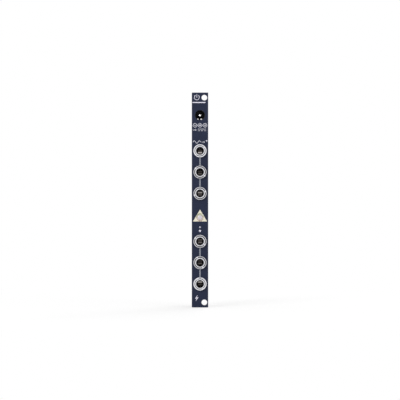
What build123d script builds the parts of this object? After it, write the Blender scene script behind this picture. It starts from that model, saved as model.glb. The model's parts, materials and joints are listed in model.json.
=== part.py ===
from build123d import *
import os

os.makedirs("parts", exist_ok=True)

# A 3U power module, two grid units wide, for a synthesizer rack: a slim circuit-board panel with
# a direct-current inlet, an indicator light and six 3.5 mm sockets in two linked groups of three.
# Behind it stand two narrow boards: one carries the sockets, the other the supply.
#
# Millimetres. +X is right as seen from the front, +Y goes into the rack, +Z is up. The origin is
# midway between the two rail screws, on the panel's rear face, which lies on the rails.
# Depths are counted from that face: the panel is in front of it, everything else behind.

# Panel
panel_height = 128.5
panel_width = 9.8
panel_thickness = 1.6
panel_corner_radius = 0.3
rail_hole_end_distance = 3.0
rail_hole_inset = 7.5
rail_hole_radius = 1.7

# Boards and the space between them
board_gap = 10.0
board_stack_gap = 11.0
board_thickness = 1.6
board_side_gap = 0.2
board_end_margin = 0.15
board_top_margin = 1.0
pin_tail = 1.4
pin_flush_inset = 0.2

# Socket for a 3.5 mm plug: bushing, housing and earth lug
plug_radius = 1.75
plug_clearance = 0.05
thread_radius = 3.0
bushing_proud = 0.9
bushing_mouth_chamfer = 0.3
bushing_edge_chamfer = 0.2
panel_bush_clearance = 0.1
flange_width = 8.0
flange_thickness = 0.3
flange_drop = 4.0
jack_width = 9.0
jack_rise = 4.5
jack_drop = 6.0
jack_wall = 0.7
jack_front_wall = 0.8
jack_edge_radius = 0.3
jack_cavity_width = 4.2
jack_bore_clearance = 0.1
lug_width = 2.4
lug_thickness = 0.25
lug_standoff = 1.95
lug_bend_depth = 7.2
lug_clearance = 0.125
jacks_in_group = 3
terminal_pin_width = 1.0
terminal_hole_clearance = 0.1

# Socket contacts
leaf_thickness = 0.2
leaf_width = 2.0
leaf_roll_radius = 0.25
leaf_hinge_depth = 2.0
leaf_hinge_gap = 0.15
leaf_hinge_lift = 0.8
leaf_contact_depth = 6.7
leaf_contact_drop = 0.6
leaf_end_depth = 9.0
leaf_end_length = 0.8
leaf_end_drop = 1.9
switch_pin_rise = 3.38
switch_width = 1.2
switch_gap = 0.1
switch_tab_length = 1.2
switch_board_gap = 0.15

# Slotted ring nut
nut_radius = 4.0
nut_thickness = 2.0
nut_thread_clearance = 0.05
nut_outer_chamfer = 0.3
nut_inner_chamfer = 0.35
nut_slot_width = 1.0
nut_slot_depth = 0.7
nut_slot_angles = (40, 140, 20, 145, 120, 120)

# Direct-current inlet for a 5.5 x 2.1 mm barrel plug
barrel_radius = 2.75
barrel_clearance = 0.1
barrel_panel_clearance = 0.3
inlet_from_top = 13.5
inlet_width = 9.0
inlet_rise = 4.5
inlet_drop = 5.5
inlet_floor = 1.0
inlet_wall = 0.6
inlet_front_wall = 0.4
inlet_edge_radius = 0.4
center_pin_radius = 1.0
center_pin_recess = 1.2
center_pin_nose_radius = 0.5
center_tail_radius = 0.6
inlet_fit = 0.05
fork_width = 2.6
fork_channel_clearance = 0.3
fork_slot_width = 1.3
fork_slot_end_depth = 6.0
fork_hinge_depth = 8.0
fork_hinge_lift = 0.9
fork_bump_depth = 2.6
fork_bump_drop = 1.8
fork_tip_depth = 0.9
fork_tip_drop = 2.4
shunt_side = 3.4
shunt_drop = 3.6
shunt_depth = 6.2

# Indicator light
light_radius = 2.45
light_hole_clearance = 0.1
light_recess = 0.1
light_body_length = 5.15
light_flange_radius = 2.9
light_flange_thickness = 1.0
light_lead_size = 0.5
light_lead_pitch = 2.54
light_spacer_radius = 2.4
light_spacer_bore_radius = 1.65
light_below_jacks = 8.4

# Standoffs and their screws
screw_radius = 1.0
screw_head_radius = 2.0
screw_head_height = 1.3
screw_head_edge = 0.5
screw_recess_width = 0.5
screw_recess_depth = 0.7
screw_grip = 4.0
screw_clearance = 0.1
standoff_flats = 4.0
standoff_bore_margin = 0.5
upper_screw_room = 2.66
lower_screw_room = 0.425

# Plug-together link between the boards
pin_pitch = 2.54
pin_size = 0.64
pin_clearance = 0.04
link_width = 2.5
link_header_height = 2.5
link_side_margin = 0.1
link_pin_reach = 6.0
link_pin_end_gap = 0.5
link_tail_size = 0.5
link_tail_depth = 1.2
link_counts = (8, 6)

# Supply parts behind the power board
converter_length = 21.8
converter_width = 9.2
converter_depth = 11.1
converter_edge_radius = 0.5
converter_pin_side = 2.8
converter_pin_size = 0.5
converter_pin_steps = (-3, -2, 1, 3)
large_can_radius = 4.0
large_can_length = 11.5
large_can_pitch = 3.5
small_can_radius = 2.5
small_can_length = 11.0
small_can_pitch = 2.0
can_groove_radius = 0.35
can_groove_height = 1.6
can_edge_radius = 0.4
can_lead_radius = 0.3
bus_columns = 8
bus_end_length = 5.08
bus_width = 8.9
bus_height = 8.9
bus_wall = 1.1
bus_floor = 2.0
bus_key_width = 4.5
bus_key_sill = 1.0
bus_pin_below_rim = 0.9

# Supply parts between the boards
choke_size = 6.0
choke_height = 3.2
choke_chamfer = 1.1
column_side = 1.3
chip_length = 4.9
chip_width = 3.9
chip_height = 1.5
chip_lift = 0.15
chip_leg_width = 0.4
chip_leg_pitch = 1.27
chip_leg_thickness = 0.2
chip_leg_reach = 0.95
chip_leg_count = 8
diode_length = 4.3
diode_width = 3.6
diode_height = 2.3
diode_edge_chamfer = 0.3
fuse_length = 4.5
fuse_width = 3.2
fuse_height = 1.1
chip_resistor_size = (1.25, 0.5, 2.0)
chip_capacitor_size = (1.6, 1.2, 3.2)
chip_edge_radius = 0.08
chip_resistor_count = 4

# Sizes that follow from the ones above
x_left = -rail_hole_inset
x_mid = x_left + panel_width / 2
z_top = panel_height / 2
rail_hole_spacing = panel_height - 2 * rail_hole_end_distance
board_width = panel_width - 2 * board_side_gap
bore_radius = plug_radius + plug_clearance
bushing_length = panel_thickness + nut_thickness + bushing_proud
lug_center = jack_rise + lug_standoff
lug_reach = lug_center + lug_thickness / 2
jack_pitch = lug_reach + lug_clearance + jack_drop
tip_strip_drop = jack_drop - jack_wall - leaf_thickness / 2
leaf_hinge_drop = tip_strip_drop - leaf_hinge_lift
cavity_rise = jack_cavity_width / 2
fork_strip_drop = inlet_drop - inlet_wall - leaf_thickness / 2
fork_hinge_drop = fork_strip_drop - fork_hinge_lift
inlet_cavity_radius = barrel_radius + barrel_clearance
terminal_hole_radius = terminal_pin_width / 2 + terminal_hole_clearance
half_diagonal_share = 2 ** 0.5 / 2

# Depths, from the front of the stack to its back
y_front = -panel_thickness
y_socket_front = board_gap
y_socket_back = y_socket_front + board_thickness
y_power_front = y_socket_back + board_stack_gap
y_power_back = y_power_front + board_thickness
y_tail_end = y_socket_back + pin_tail

# Heights, chained downwards from the inlet so that neighbours always keep their distance
z_inlet = z_top - inlet_from_top
z_inlet_bottom = z_inlet - inlet_drop
z_jack_1 = z_inlet_bottom - 2 * (upper_screw_room + screw_head_radius) - lug_reach
z_light = z_jack_1 - (jacks_in_group - 1) * jack_pitch - jack_drop - light_below_jacks
z_lower_lug = z_light - light_spacer_radius - 2 * screw_head_radius - 3 * lower_screw_room
z_jack_4 = z_lower_lug - lug_reach
jack_heights = [z_jack_1 - i * jack_pitch for i in range(jacks_in_group)]
jack_heights += [z_jack_4 - i * jack_pitch for i in range(jacks_in_group)]
z_upper_screw = z_inlet_bottom - upper_screw_room - screw_head_radius
z_lower_screw = z_lower_lug + lower_screw_room + screw_head_radius
screw_heights = (z_upper_screw, z_lower_screw)
z_board_top = z_inlet + inlet_rise + board_top_margin
z_board_bottom = jack_heights[-1] - jack_drop - board_end_margin


def spread(top, bottom, lengths):
    """Centres of pieces of these lengths set down a column with equal gaps between them."""
    gap = (top - bottom - sum(lengths)) / (len(lengths) + 1)
    centers = []
    for length in lengths:
        top -= gap
        centers.append(top - length / 2)
        top -= length
    return centers


def front_view(depth):
    """Drawing plane seen from the front, x right and z up, that far behind the panel's rear face."""
    return Plane.XZ.offset(-depth)


def strip_outline(path, thickness):
    """Corners of a bent strip of even thickness whose middle follows the path."""
    points = [Vector(*point) for point in path]
    runs = [(b - a).normalized() for a, b in zip(points, points[1:])]
    sides = []
    for i, point in enumerate(points):
        before = runs[max(i - 1, 0)]
        after = runs[min(i, len(runs) - 1)]
        normal = Vector(-before.Y - after.Y, before.X + after.X).normalized()
        reach = thickness / 2 / normal.dot(Vector(-before.Y, before.X))
        sides.append((point + normal * reach, point - normal * reach))
    return [left for left, right in sides] + [right for left, right in reversed(sides)]


def side_strip(path, thickness, width, x):
    """Extrude a bent strip drawn from the side, as depth and height, evenly about that x."""
    with BuildSketch(Plane.YZ.offset(x)) as profile:
        with BuildLine():
            Polyline(*strip_outline(path, thickness), close=True)
        make_face()
    extrude(profile.sketch, amount=width / 2, both=True)


def block(x, z, width, height, near, far, mode=Mode.ADD):
    """A rectangular block, drawn from the front, between two depths."""
    with BuildSketch(front_view(near)) as profile:
        with Locations((x, z)):
            Rectangle(width, height)
    extrude(profile.sketch, amount=near - far, mode=mode)


def rod(x, z, radius, near, far, mode=Mode.ADD):
    """A round rod, drawn from the front, between two depths."""
    with BuildSketch(front_view(near)) as profile:
        with Locations((x, z)):
            Circle(radius)
    extrude(profile.sketch, amount=near - far, mode=mode)


def pin_hole_radius(size):
    """Radius of the board hole that a square pin of that size drops through."""
    return size * half_diagonal_share + terminal_hole_clearance


def save(piece, label):
    piece.part.label = label
    export_step(piece.part, f"parts/{label}.step")


# Front panel, a bare circuit board with its holes
with BuildPart() as front_panel:
    with BuildSketch(front_view(0)):
        with Locations((x_mid, 0)):
            RectangleRounded(panel_width, panel_height, panel_corner_radius)
        with GridLocations(0, rail_hole_spacing, 1, 2):
            Circle(rail_hole_radius, mode=Mode.SUBTRACT)
        with Locations(*[(x_mid, z) for z in jack_heights]):
            Circle(thread_radius + panel_bush_clearance, mode=Mode.SUBTRACT)
        with Locations((x_mid, z_inlet)):
            Circle(barrel_radius + barrel_panel_clearance, mode=Mode.SUBTRACT)
        with Locations((x_mid, z_light)):
            Circle(light_radius + light_hole_clearance, mode=Mode.SUBTRACT)
    extrude(amount=panel_thickness)
save(front_panel, "front_panel")


def make_bushing(z):
    """Threaded metal bushing with its flange and the earth lug that runs back to the board."""
    jog_depth = lug_bend_depth + lug_standoff
    strip_rise = z + jack_rise + lug_thickness / 2
    pin_rise = z + lug_center
    with BuildPart() as bushing:
        rod(x_mid, z, thread_radius, -bushing_length, 0)
        rim = bushing.faces().sort_by(Axis.Y)[0].edges()
        chamfer(rim, bushing_edge_chamfer)
        block(x_mid, z + (jack_rise - flange_drop) / 2, flange_width, jack_rise + flange_drop,
              0, flange_thickness)
        block(x_mid, strip_rise, lug_width, lug_thickness, 0, flange_thickness)
        rod(x_mid, z, bore_radius, -bushing_length, flange_thickness, mode=Mode.SUBTRACT)
        mouth = bushing.faces().sort_by(Axis.Y)[0].edges().sort_by(Edge.length)[0]
        chamfer(mouth, bushing_mouth_chamfer)
        side_strip(
            [(flange_thickness, strip_rise), (lug_bend_depth, strip_rise), (jog_depth, pin_rise),
             (y_socket_front, pin_rise)],
            lug_thickness, lug_width, x_mid)
        block(x_mid, pin_rise, terminal_pin_width, lug_thickness, y_socket_front, y_tail_end)
    return bushing


def make_jack_housing(z):
    """Moulded housing, hollow behind its front wall and open towards the board."""
    cavity_height = cavity_rise + jack_drop - jack_wall
    cavity_center = z + (cavity_rise - jack_drop + jack_wall) / 2
    slot_reach = switch_pin_rise + terminal_pin_width / 2 - cavity_rise
    with BuildPart() as housing:
        block(x_mid, z + (jack_rise - jack_drop) / 2, jack_width, jack_rise + jack_drop,
              flange_thickness, y_socket_front)
        fillet(housing.edges().filter_by(Axis.Y), jack_edge_radius)
        block(x_mid, cavity_center, jack_cavity_width, cavity_height,
              flange_thickness + jack_front_wall, y_socket_front, mode=Mode.SUBTRACT)
        block(x_mid, z + cavity_rise + slot_reach / 2, switch_width + 2 * inlet_fit, slot_reach,
              y_socket_front - switch_board_gap - leaf_thickness - terminal_hole_clearance,
              y_socket_front, mode=Mode.SUBTRACT)
        rod(x_mid, z, bore_radius + jack_bore_clearance, flange_thickness,
            flange_thickness + jack_front_wall, mode=Mode.SUBTRACT)
    return housing


def make_nut(z, slot_angle):
    """Round ring nut, turned down on the bushing, with a driver slot on each side."""
    back = y_front
    face = y_front - nut_thickness
    slot_center = (nut_radius + thread_radius) / 2
    with BuildPart() as nut:
        rod(x_mid, z, nut_radius, face, back)
        chamfer(nut.faces().sort_by(Axis.Y)[0].edges(), nut_outer_chamfer)
        rod(x_mid, z, thread_radius + nut_thread_clearance, face, back, mode=Mode.SUBTRACT)
        inner = nut.faces().sort_by(Axis.Y)[0].edges().sort_by(Edge.length)[0]
        chamfer(inner, nut_inner_chamfer)
        with BuildSketch(front_view(face)):
            with Locations((x_mid, z)):
                with Locations(Rotation(0, 0, slot_angle)):
                    with Locations((slot_center, 0), (-slot_center, 0)):
                        Rectangle(nut_radius, nut_slot_width)
        extrude(amount=-nut_slot_depth, mode=Mode.SUBTRACT)
    return nut


def make_tip_spring(z):
    """Leaf that bears on a plug's tip; its rolled root lies on the hinge line of the fold."""
    hinge = (leaf_hinge_depth, z - leaf_hinge_drop)
    end = z - leaf_end_drop
    with BuildPart() as spring:
        side_strip(
            [hinge, (leaf_contact_depth, z - leaf_contact_drop),
             (leaf_end_depth - leaf_end_length, end), (leaf_end_depth, end)],
            leaf_thickness, leaf_width, x_mid)
        with BuildSketch(Plane.YZ.offset(x_mid)):
            with Locations(hinge):
                Circle(leaf_roll_radius)
        extrude(amount=leaf_width / 2, both=True)
    return spring


# The six sockets, each with its own bushing, housing, nut and moving tip spring
for number, (z_jack, slot_angle) in enumerate(zip(jack_heights, nut_slot_angles), start=1):
    save(make_bushing(z_jack), f"jack_{number}_bushing")
    save(make_jack_housing(z_jack), f"jack_{number}_housing")
    save(make_nut(z_jack, slot_angle), f"jack_{number}_nut")
    save(make_tip_spring(z_jack), f"jack_{number}_tip_spring")

# Fixed terminals that carry the tip springs along the lower wall of each housing
leg_depth = leaf_hinge_depth - leaf_roll_radius - leaf_hinge_gap - leaf_thickness / 2
with BuildPart() as jack_tip_terminals:
    for z_jack in jack_heights:
        strip = z_jack - tip_strip_drop
        side_strip([(leg_depth, z_jack - leaf_hinge_drop), (leg_depth, strip), (y_socket_front, strip)],
                   leaf_thickness, leaf_width, x_mid)
        block(x_mid, strip, terminal_pin_width, leaf_thickness, y_socket_front, y_tail_end)
save(jack_tip_terminals, "jack_tip_terminals")

# Switch contacts, which meet the end of each tip spring while no plug is in
switch_floor = y_socket_front - switch_board_gap - leaf_thickness / 2
switch_tab_drop = leaf_end_drop - leaf_thickness - switch_gap
with BuildPart() as jack_switch_contacts:
    for z_jack in jack_heights:
        tab = z_jack - switch_tab_drop
        side_strip(
            [(y_socket_front, z_jack + switch_pin_rise), (switch_floor, z_jack + switch_pin_rise),
             (switch_floor, tab), (switch_floor - switch_tab_length, tab)],
            leaf_thickness, switch_width, x_mid)
        block(x_mid, z_jack + switch_pin_rise, terminal_pin_width, leaf_thickness,
              y_socket_front, y_tail_end)
save(jack_switch_contacts, "jack_switch_contacts")

# Inlet housing: a round well for the plug, with a channel below it for the spring
channel_width = fork_width + 2 * fork_channel_clearance
channel_drop = inlet_drop - inlet_wall
with BuildPart() as inlet_housing:
    block(x_mid, z_inlet + (inlet_rise - inlet_drop) / 2, inlet_width, inlet_rise + inlet_drop,
          0, board_gap)
    fillet(inlet_housing.edges().filter_by(Axis.Y), inlet_edge_radius)
    rod(x_mid, z_inlet, inlet_cavity_radius, 0, board_gap - inlet_floor, mode=Mode.SUBTRACT)
    block(x_mid, z_inlet - channel_drop / 2, channel_width, channel_drop,
          inlet_front_wall, board_gap - inlet_floor, mode=Mode.SUBTRACT)
    rod(x_mid, z_inlet, center_tail_radius + inlet_fit, 0, board_gap, mode=Mode.SUBTRACT)
    block(x_mid, z_inlet - fork_strip_drop, leaf_width + 2 * inlet_fit, leaf_thickness + 2 * inlet_fit,
          inlet_front_wall, board_gap, mode=Mode.SUBTRACT)
    block(x_mid + shunt_side, z_inlet - shunt_drop, terminal_pin_width + 2 * inlet_fit,
          leaf_thickness + 2 * inlet_fit, shunt_depth - inlet_fit, board_gap, mode=Mode.SUBTRACT)
save(inlet_housing, "inlet_housing")

# Centre pin of the inlet, standing on the floor of the well
with BuildPart() as inlet_center_pin:
    rod(x_mid, z_inlet, center_pin_radius, center_pin_recess, board_gap - inlet_floor)
    fillet(inlet_center_pin.faces().sort_by(Axis.Y)[0].edges(), center_pin_nose_radius)
    rod(x_mid, z_inlet, center_tail_radius, board_gap - inlet_floor, y_tail_end)
save(inlet_center_pin, "inlet_center_pin")

# Forked spring that bears on the outside of the plug's barrel, hinged near the floor of the well
fork_hinge = (fork_hinge_depth, z_inlet - fork_hinge_drop)
with BuildPart() as inlet_sleeve_spring:
    side_strip(
        [fork_hinge, (fork_bump_depth, z_inlet - fork_bump_drop),
         (fork_tip_depth, z_inlet - fork_tip_drop)],
        leaf_thickness, fork_width, x_mid)
    block(x_mid, z_inlet - fork_hinge_drop / 2, fork_slot_width, fork_hinge_drop,
          0, fork_slot_end_depth, mode=Mode.SUBTRACT)
    with BuildSketch(Plane.YZ.offset(x_mid)):
        with Locations(fork_hinge):
            Circle(leaf_roll_radius)
    extrude(amount=fork_width / 2, both=True)
save(inlet_sleeve_spring, "inlet_sleeve_spring")

# Terminals of the inlet: the one that carries the spring, and the shunt
fork_leg_depth = fork_hinge_depth + leaf_roll_radius + leaf_hinge_gap + leaf_thickness / 2
with BuildPart() as inlet_terminals:
    side_strip(
        [(fork_leg_depth, z_inlet - fork_hinge_drop), (fork_leg_depth, z_inlet - fork_strip_drop),
         (y_socket_front, z_inlet - fork_strip_drop)],
        leaf_thickness, leaf_width, x_mid)
    block(x_mid, z_inlet - fork_strip_drop, terminal_pin_width, leaf_thickness,
          y_socket_front, y_tail_end)
    block(x_mid + shunt_side, z_inlet - shunt_drop, terminal_pin_width, leaf_thickness,
          shunt_depth, y_tail_end)
save(inlet_terminals, "inlet_terminals")

# Indicator light: domed lens with its flange, on a sleeve that holds it up to the panel
y_light_dome = y_front + light_recess + light_radius
y_light_flange = y_light_dome + light_body_length
y_light_base = y_light_flange + light_flange_thickness
with BuildPart() as light_lens:
    rod(x_mid, z_light, light_radius, y_light_dome, y_light_flange)
    rod(x_mid, z_light, light_flange_radius, y_light_flange, y_light_base)
    with BuildSketch(Plane.YZ.offset(x_mid)):
        with BuildLine():
            tip = (y_light_dome - light_radius, z_light)
            rim = (y_light_dome, z_light + light_radius)
            RadiusArc(tip, rim, light_radius)
            Polyline(rim, (y_light_dome, z_light), tip)
        make_face()
    revolve(axis=Axis((x_mid, 0, z_light), (0, 1, 0)))
save(light_lens, "light_lens")

with BuildPart() as light_leads:
    for side in (-1, 1):
        block(x_mid, z_light + side * light_lead_pitch / 2, light_lead_size, light_lead_size,
              y_light_base, y_tail_end)
save(light_leads, "light_leads")

with BuildPart() as light_spacer:
    rod(x_mid, z_light, light_spacer_radius, y_light_base, y_socket_front)
    rod(x_mid, z_light, light_spacer_bore_radius, y_light_base, y_socket_front, mode=Mode.SUBTRACT)
save(light_spacer, "light_spacer")

# Places on the boards
board_height = z_board_top - z_board_bottom
z_board_mid = (z_board_top + z_board_bottom) / 2
hole_radius_for_screws = screw_radius + screw_clearance
link_x = x_mid - board_width / 2 + link_side_margin + link_width / 2
link_spans = ((z_upper_screw - screw_head_radius, z_lower_screw + screw_head_radius),
              (z_lower_screw - screw_head_radius, z_board_bottom))
link_heights = [spread(top, bottom, [count * pin_pitch])[0]
                for (top, bottom), count in zip(link_spans, link_counts)]
link_pins = [(link_x, z + (i - (count - 1) / 2) * pin_pitch)
             for z, count in zip(link_heights, link_counts) for i in range(count)]

converter_heights = spread(z_upper_screw - screw_head_radius, z_lower_screw + screw_head_radius,
                           [converter_length, converter_length])
converter_pins = [(x_mid + converter_pin_side, z + step * pin_pitch)
                  for z in converter_heights for step in converter_pin_steps]
bus_length = (bus_columns - 1) * pin_pitch + 2 * bus_end_length
z_bus, z_small_can = spread(z_lower_screw - screw_head_radius, z_board_bottom,
                            [bus_length, 2 * small_can_radius])
z_large_can = spread(z_board_top, z_upper_screw + screw_head_radius, [2 * large_can_radius])[0]
bus_pins = [(x_mid + side * pin_pitch / 2, z_bus + (i - (bus_columns - 1) / 2) * pin_pitch)
            for i in range(bus_columns) for side in (-1, 1)]
can_leads = [(x_mid, z_large_can + side * large_can_pitch / 2) for side in (-1, 1)]
can_leads += [(x_mid, z_small_can + side * small_can_pitch / 2) for side in (-1, 1)]

# Socket board, which every socket, the inlet and the light are soldered to
with BuildPart() as socket_board:
    with BuildSketch(front_view(y_socket_front)):
        with Locations((x_mid, z_board_mid)):
            Rectangle(board_width, board_height)
        for z_jack in jack_heights:
            with Locations((x_mid, z_jack + lug_center), (x_mid, z_jack + switch_pin_rise),
                           (x_mid, z_jack - tip_strip_drop)):
                Circle(terminal_hole_radius, mode=Mode.SUBTRACT)
        with Locations((x_mid, z_inlet - fork_strip_drop),
                       (x_mid + shunt_side, z_inlet - shunt_drop)):
            Circle(terminal_hole_radius, mode=Mode.SUBTRACT)
        with Locations((x_mid, z_inlet)):
            Circle(center_tail_radius + terminal_hole_clearance, mode=Mode.SUBTRACT)
        with Locations(*[(x_mid, z_light + side * light_lead_pitch / 2) for side in (-1, 1)]):
            Circle(pin_hole_radius(light_lead_size), mode=Mode.SUBTRACT)
        with Locations(*[(x_mid, z) for z in screw_heights]):
            Circle(hole_radius_for_screws, mode=Mode.SUBTRACT)
        with Locations(*link_pins):
            Circle(pin_hole_radius(link_tail_size), mode=Mode.SUBTRACT)
    extrude(amount=-board_thickness)
save(socket_board, "socket_board")

# Power board
with BuildPart() as power_board:
    with BuildSketch(front_view(y_power_front)):
        with Locations((x_mid, z_board_mid)):
            Rectangle(board_width, board_height)
        with Locations(*[(x_mid, z) for z in screw_heights]):
            Circle(hole_radius_for_screws, mode=Mode.SUBTRACT)
        with Locations(*link_pins, *bus_pins):
            Circle(pin_hole_radius(pin_size), mode=Mode.SUBTRACT)
        with Locations(*converter_pins):
            Circle(pin_hole_radius(converter_pin_size), mode=Mode.SUBTRACT)
        with Locations(*can_leads):
            Circle(can_lead_radius + terminal_hole_clearance, mode=Mode.SUBTRACT)
    extrude(amount=-board_thickness)
save(power_board, "power_board")

# Hexagonal standoffs between the boards, and the four screws that hold them
with BuildPart() as standoffs:
    bore_depth = screw_grip + standoff_bore_margin
    for z in screw_heights:
        with BuildSketch(front_view(y_socket_back)):
            with Locations((x_mid, z)):
                RegularPolygon(standoff_flats / 2, 6, major_radius=False)
        extrude(amount=-board_stack_gap)
        rod(x_mid, z, hole_radius_for_screws, y_socket_back, y_socket_back + bore_depth,
            mode=Mode.SUBTRACT)
        rod(x_mid, z, hole_radius_for_screws, y_power_front - bore_depth, y_power_front,
            mode=Mode.SUBTRACT)
save(standoffs, "standoffs")


def add_screw(z, seat, outwards):
    """A pan-head screw on that seat, its head standing out to the front or to the back."""
    tip = seat - outwards * (board_thickness + screw_grip)
    crown = seat + outwards * screw_head_height
    with BuildSketch(Plane.YZ.offset(x_mid)) as profile:
        with BuildLine():
            Polyline((crown, z), (tip, z), (tip, z + screw_radius), (seat, z + screw_radius),
                     (seat, z + screw_head_radius),
                     (crown - outwards * screw_head_edge, z + screw_head_radius),
                     (crown, z + screw_head_radius - screw_head_edge), close=True)
        make_face()
    revolve(profile.sketch, axis=Axis((x_mid, 0, z), (0, 1, 0)))
    floor = crown - outwards * screw_recess_depth
    near, far = sorted((crown, floor))
    block(x_mid, z, 2 * screw_radius, screw_recess_width, near, far, mode=Mode.SUBTRACT)
    block(x_mid, z, screw_recess_width, 2 * screw_radius, near, far, mode=Mode.SUBTRACT)


with BuildPart() as standoff_screws:
    for z in screw_heights:
        add_screw(z, y_socket_front, -1)
        add_screw(z, y_power_back, 1)
save(standoff_screws, "standoff_screws")

# Link between the boards: sockets behind the socket board, pin headers on the power board
y_link_joint = y_power_front - link_header_height
y_pin_start = y_link_joint - link_pin_reach
with BuildPart() as link_sockets:
    for z, count in zip(link_heights, link_counts):
        block(link_x, z, link_width, count * pin_pitch, y_socket_back, y_link_joint)
    for x, z in link_pins:
        block(x, z, pin_size + 2 * pin_clearance, pin_size + 2 * pin_clearance,
              y_pin_start - link_pin_end_gap, y_link_joint, mode=Mode.SUBTRACT)
        block(x, z, link_tail_size, link_tail_size, y_socket_back, y_socket_back + link_tail_depth,
              mode=Mode.SUBTRACT)
save(link_sockets, "link_sockets")

with BuildPart() as link_socket_tails:
    for x, z in link_pins:
        block(x, z, link_tail_size, link_tail_size, y_socket_front + pin_flush_inset,
              y_socket_back + link_tail_depth)
save(link_socket_tails, "link_socket_tails")

with BuildPart() as link_headers:
    for z, count in zip(link_heights, link_counts):
        block(link_x, z, link_width, count * pin_pitch, y_link_joint, y_power_front)
    for x, z in link_pins:
        block(x, z, pin_size, pin_size, y_link_joint, y_power_front, mode=Mode.SUBTRACT)
save(link_headers, "link_headers")

with BuildPart() as link_header_pins:
    for x, z in link_pins:
        block(x, z, pin_size, pin_size, y_pin_start, y_power_back - pin_flush_inset)
save(link_header_pins, "link_header_pins")

# Two potted converters that make the positive and the negative rail
for label, z in zip(("positive_converter", "negative_converter"), converter_heights):
    with BuildPart() as converter:
        block(x_mid, z, converter_width, converter_length, y_power_back,
              y_power_back + converter_depth)
        edges = converter.edges().filter_by(Axis.Y) + converter.faces().sort_by(Axis.Y)[-1].edges()
        fillet(edges, converter_edge_radius)
    save(converter, label)

with BuildPart() as converter_leads:
    for x, z in converter_pins:
        block(x, z, converter_pin_size, converter_pin_size, y_power_front + pin_flush_inset,
              y_power_back)
save(converter_leads, "converter_leads")


def make_can(z, radius, length):
    """Electrolytic capacitor: a can with a rolled groove near its base and a rounded crown."""
    crown = y_power_back + length
    groove = y_power_back + can_groove_height
    axis = Axis((x_mid, 0, z), (0, 1, 0))
    with BuildPart() as can:
        rod(x_mid, z, radius, y_power_back, crown)
        fillet(can.faces().sort_by(Axis.Y)[-1].edges(), can_edge_radius)
        with BuildSketch(Plane.YZ.offset(x_mid)):
            with Locations((groove, z + radius)):
                Circle(can_groove_radius)
        revolve(axis=axis, mode=Mode.SUBTRACT)
    return can


save(make_can(z_large_can, large_can_radius, large_can_length), "input_capacitor")
save(make_can(z_small_can, small_can_radius, small_can_length), "output_capacitor")

with BuildPart() as capacitor_leads:
    for x, z in can_leads:
        rod(x, z, can_lead_radius, y_power_front + pin_flush_inset, y_power_back)
save(capacitor_leads, "capacitor_leads")

# Boxed bus header: a shroud with a key notch, and two rows of square pins
y_bus_rim = y_power_back + bus_height
y_bus_floor = y_power_back + bus_floor
with BuildPart() as bus_shroud:
    block(x_mid, z_bus, bus_width, bus_length, y_power_back, y_bus_rim)
    block(x_mid, z_bus, bus_width - 2 * bus_wall, bus_length - 2 * bus_wall, y_bus_floor, y_bus_rim,
          mode=Mode.SUBTRACT)
    block(x_mid - (bus_width - bus_wall) / 2, z_bus, bus_wall, bus_key_width,
          y_bus_floor + bus_key_sill, y_bus_rim, mode=Mode.SUBTRACT)
    for x, z in bus_pins:
        block(x, z, pin_size, pin_size, y_power_back, y_bus_floor, mode=Mode.SUBTRACT)
save(bus_shroud, "bus_shroud")

with BuildPart() as bus_header_pins:
    for x, z in bus_pins:
        block(x, z, pin_size, pin_size, y_power_front + pin_flush_inset, y_bus_rim - bus_pin_below_rim)
save(bus_header_pins, "bus_header_pins")

# Parts on the front of the power board, in a column beside the link
column_x = x_mid + column_side
z_choke_1, z_chip, z_choke_2 = spread(*link_spans[0], [choke_size, chip_length, choke_size])
z_fuse, z_diode = spread(z_board_top, z_upper_screw + screw_head_radius, [fuse_length, diode_length])


def on_power_board(x, z, width, length, height):
    """A block standing on the front face of the power board."""
    block(x, z, width, length, y_power_front - height, y_power_front)


with BuildPart() as chokes:
    for z in (z_choke_1, z_choke_2):
        on_power_board(column_x, z, choke_size, choke_size, choke_height)
    chamfer(chokes.edges().filter_by(Axis.Y), choke_chamfer)
save(chokes, "chokes")

y_chip_back = y_power_front - chip_lift
with BuildPart() as regulator_chip:
    block(column_x, z_chip, chip_width, chip_length, y_chip_back - chip_height, y_chip_back)
save(regulator_chip, "regulator_chip")

# Gull-wing legs: out of the side of the chip, down to the board, and out along it
y_leg_top = y_chip_back - chip_height / 2
with BuildPart() as regulator_legs:
    rows = chip_leg_count // 2
    for side in (-1, 1):
        root = column_x + side * chip_width / 2
        knee = root + side * chip_leg_reach / 2
        toe = root + side * chip_leg_reach
        foot = y_power_front - chip_leg_thickness / 2
        for i in range(rows):
            z = z_chip + (i - (rows - 1) / 2) * chip_leg_pitch
            with BuildSketch(Plane.XY.offset(z)):
                with BuildLine():
                    Polyline(*strip_outline([(root, y_leg_top), (knee, y_leg_top), (knee, foot),
                                             (toe, foot)], chip_leg_thickness), close=True)
                make_face()
            extrude(amount=chip_leg_width / 2, both=True)
save(regulator_legs, "regulator_legs")

with BuildPart() as input_diode:
    on_power_board(x_mid, z_diode, diode_width, diode_length, diode_height)
    chamfer(input_diode.faces().sort_by(Axis.Y)[0].edges(), diode_edge_chamfer)
save(input_diode, "input_diode")

with BuildPart() as input_fuse:
    on_power_board(x_mid, z_fuse, fuse_width, fuse_length, fuse_height)
save(input_fuse, "input_fuse")


def make_chips(size, places):
    """Small rectangular chip parts soldered flat on the power board's front face."""
    width, height, length = size
    with BuildPart() as chips:
        for x, z in places:
            on_power_board(x, z, width, length, height)
        fillet(chips.edges().filter_by(Axis.Z), chip_edge_radius)
    return chips


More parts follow.
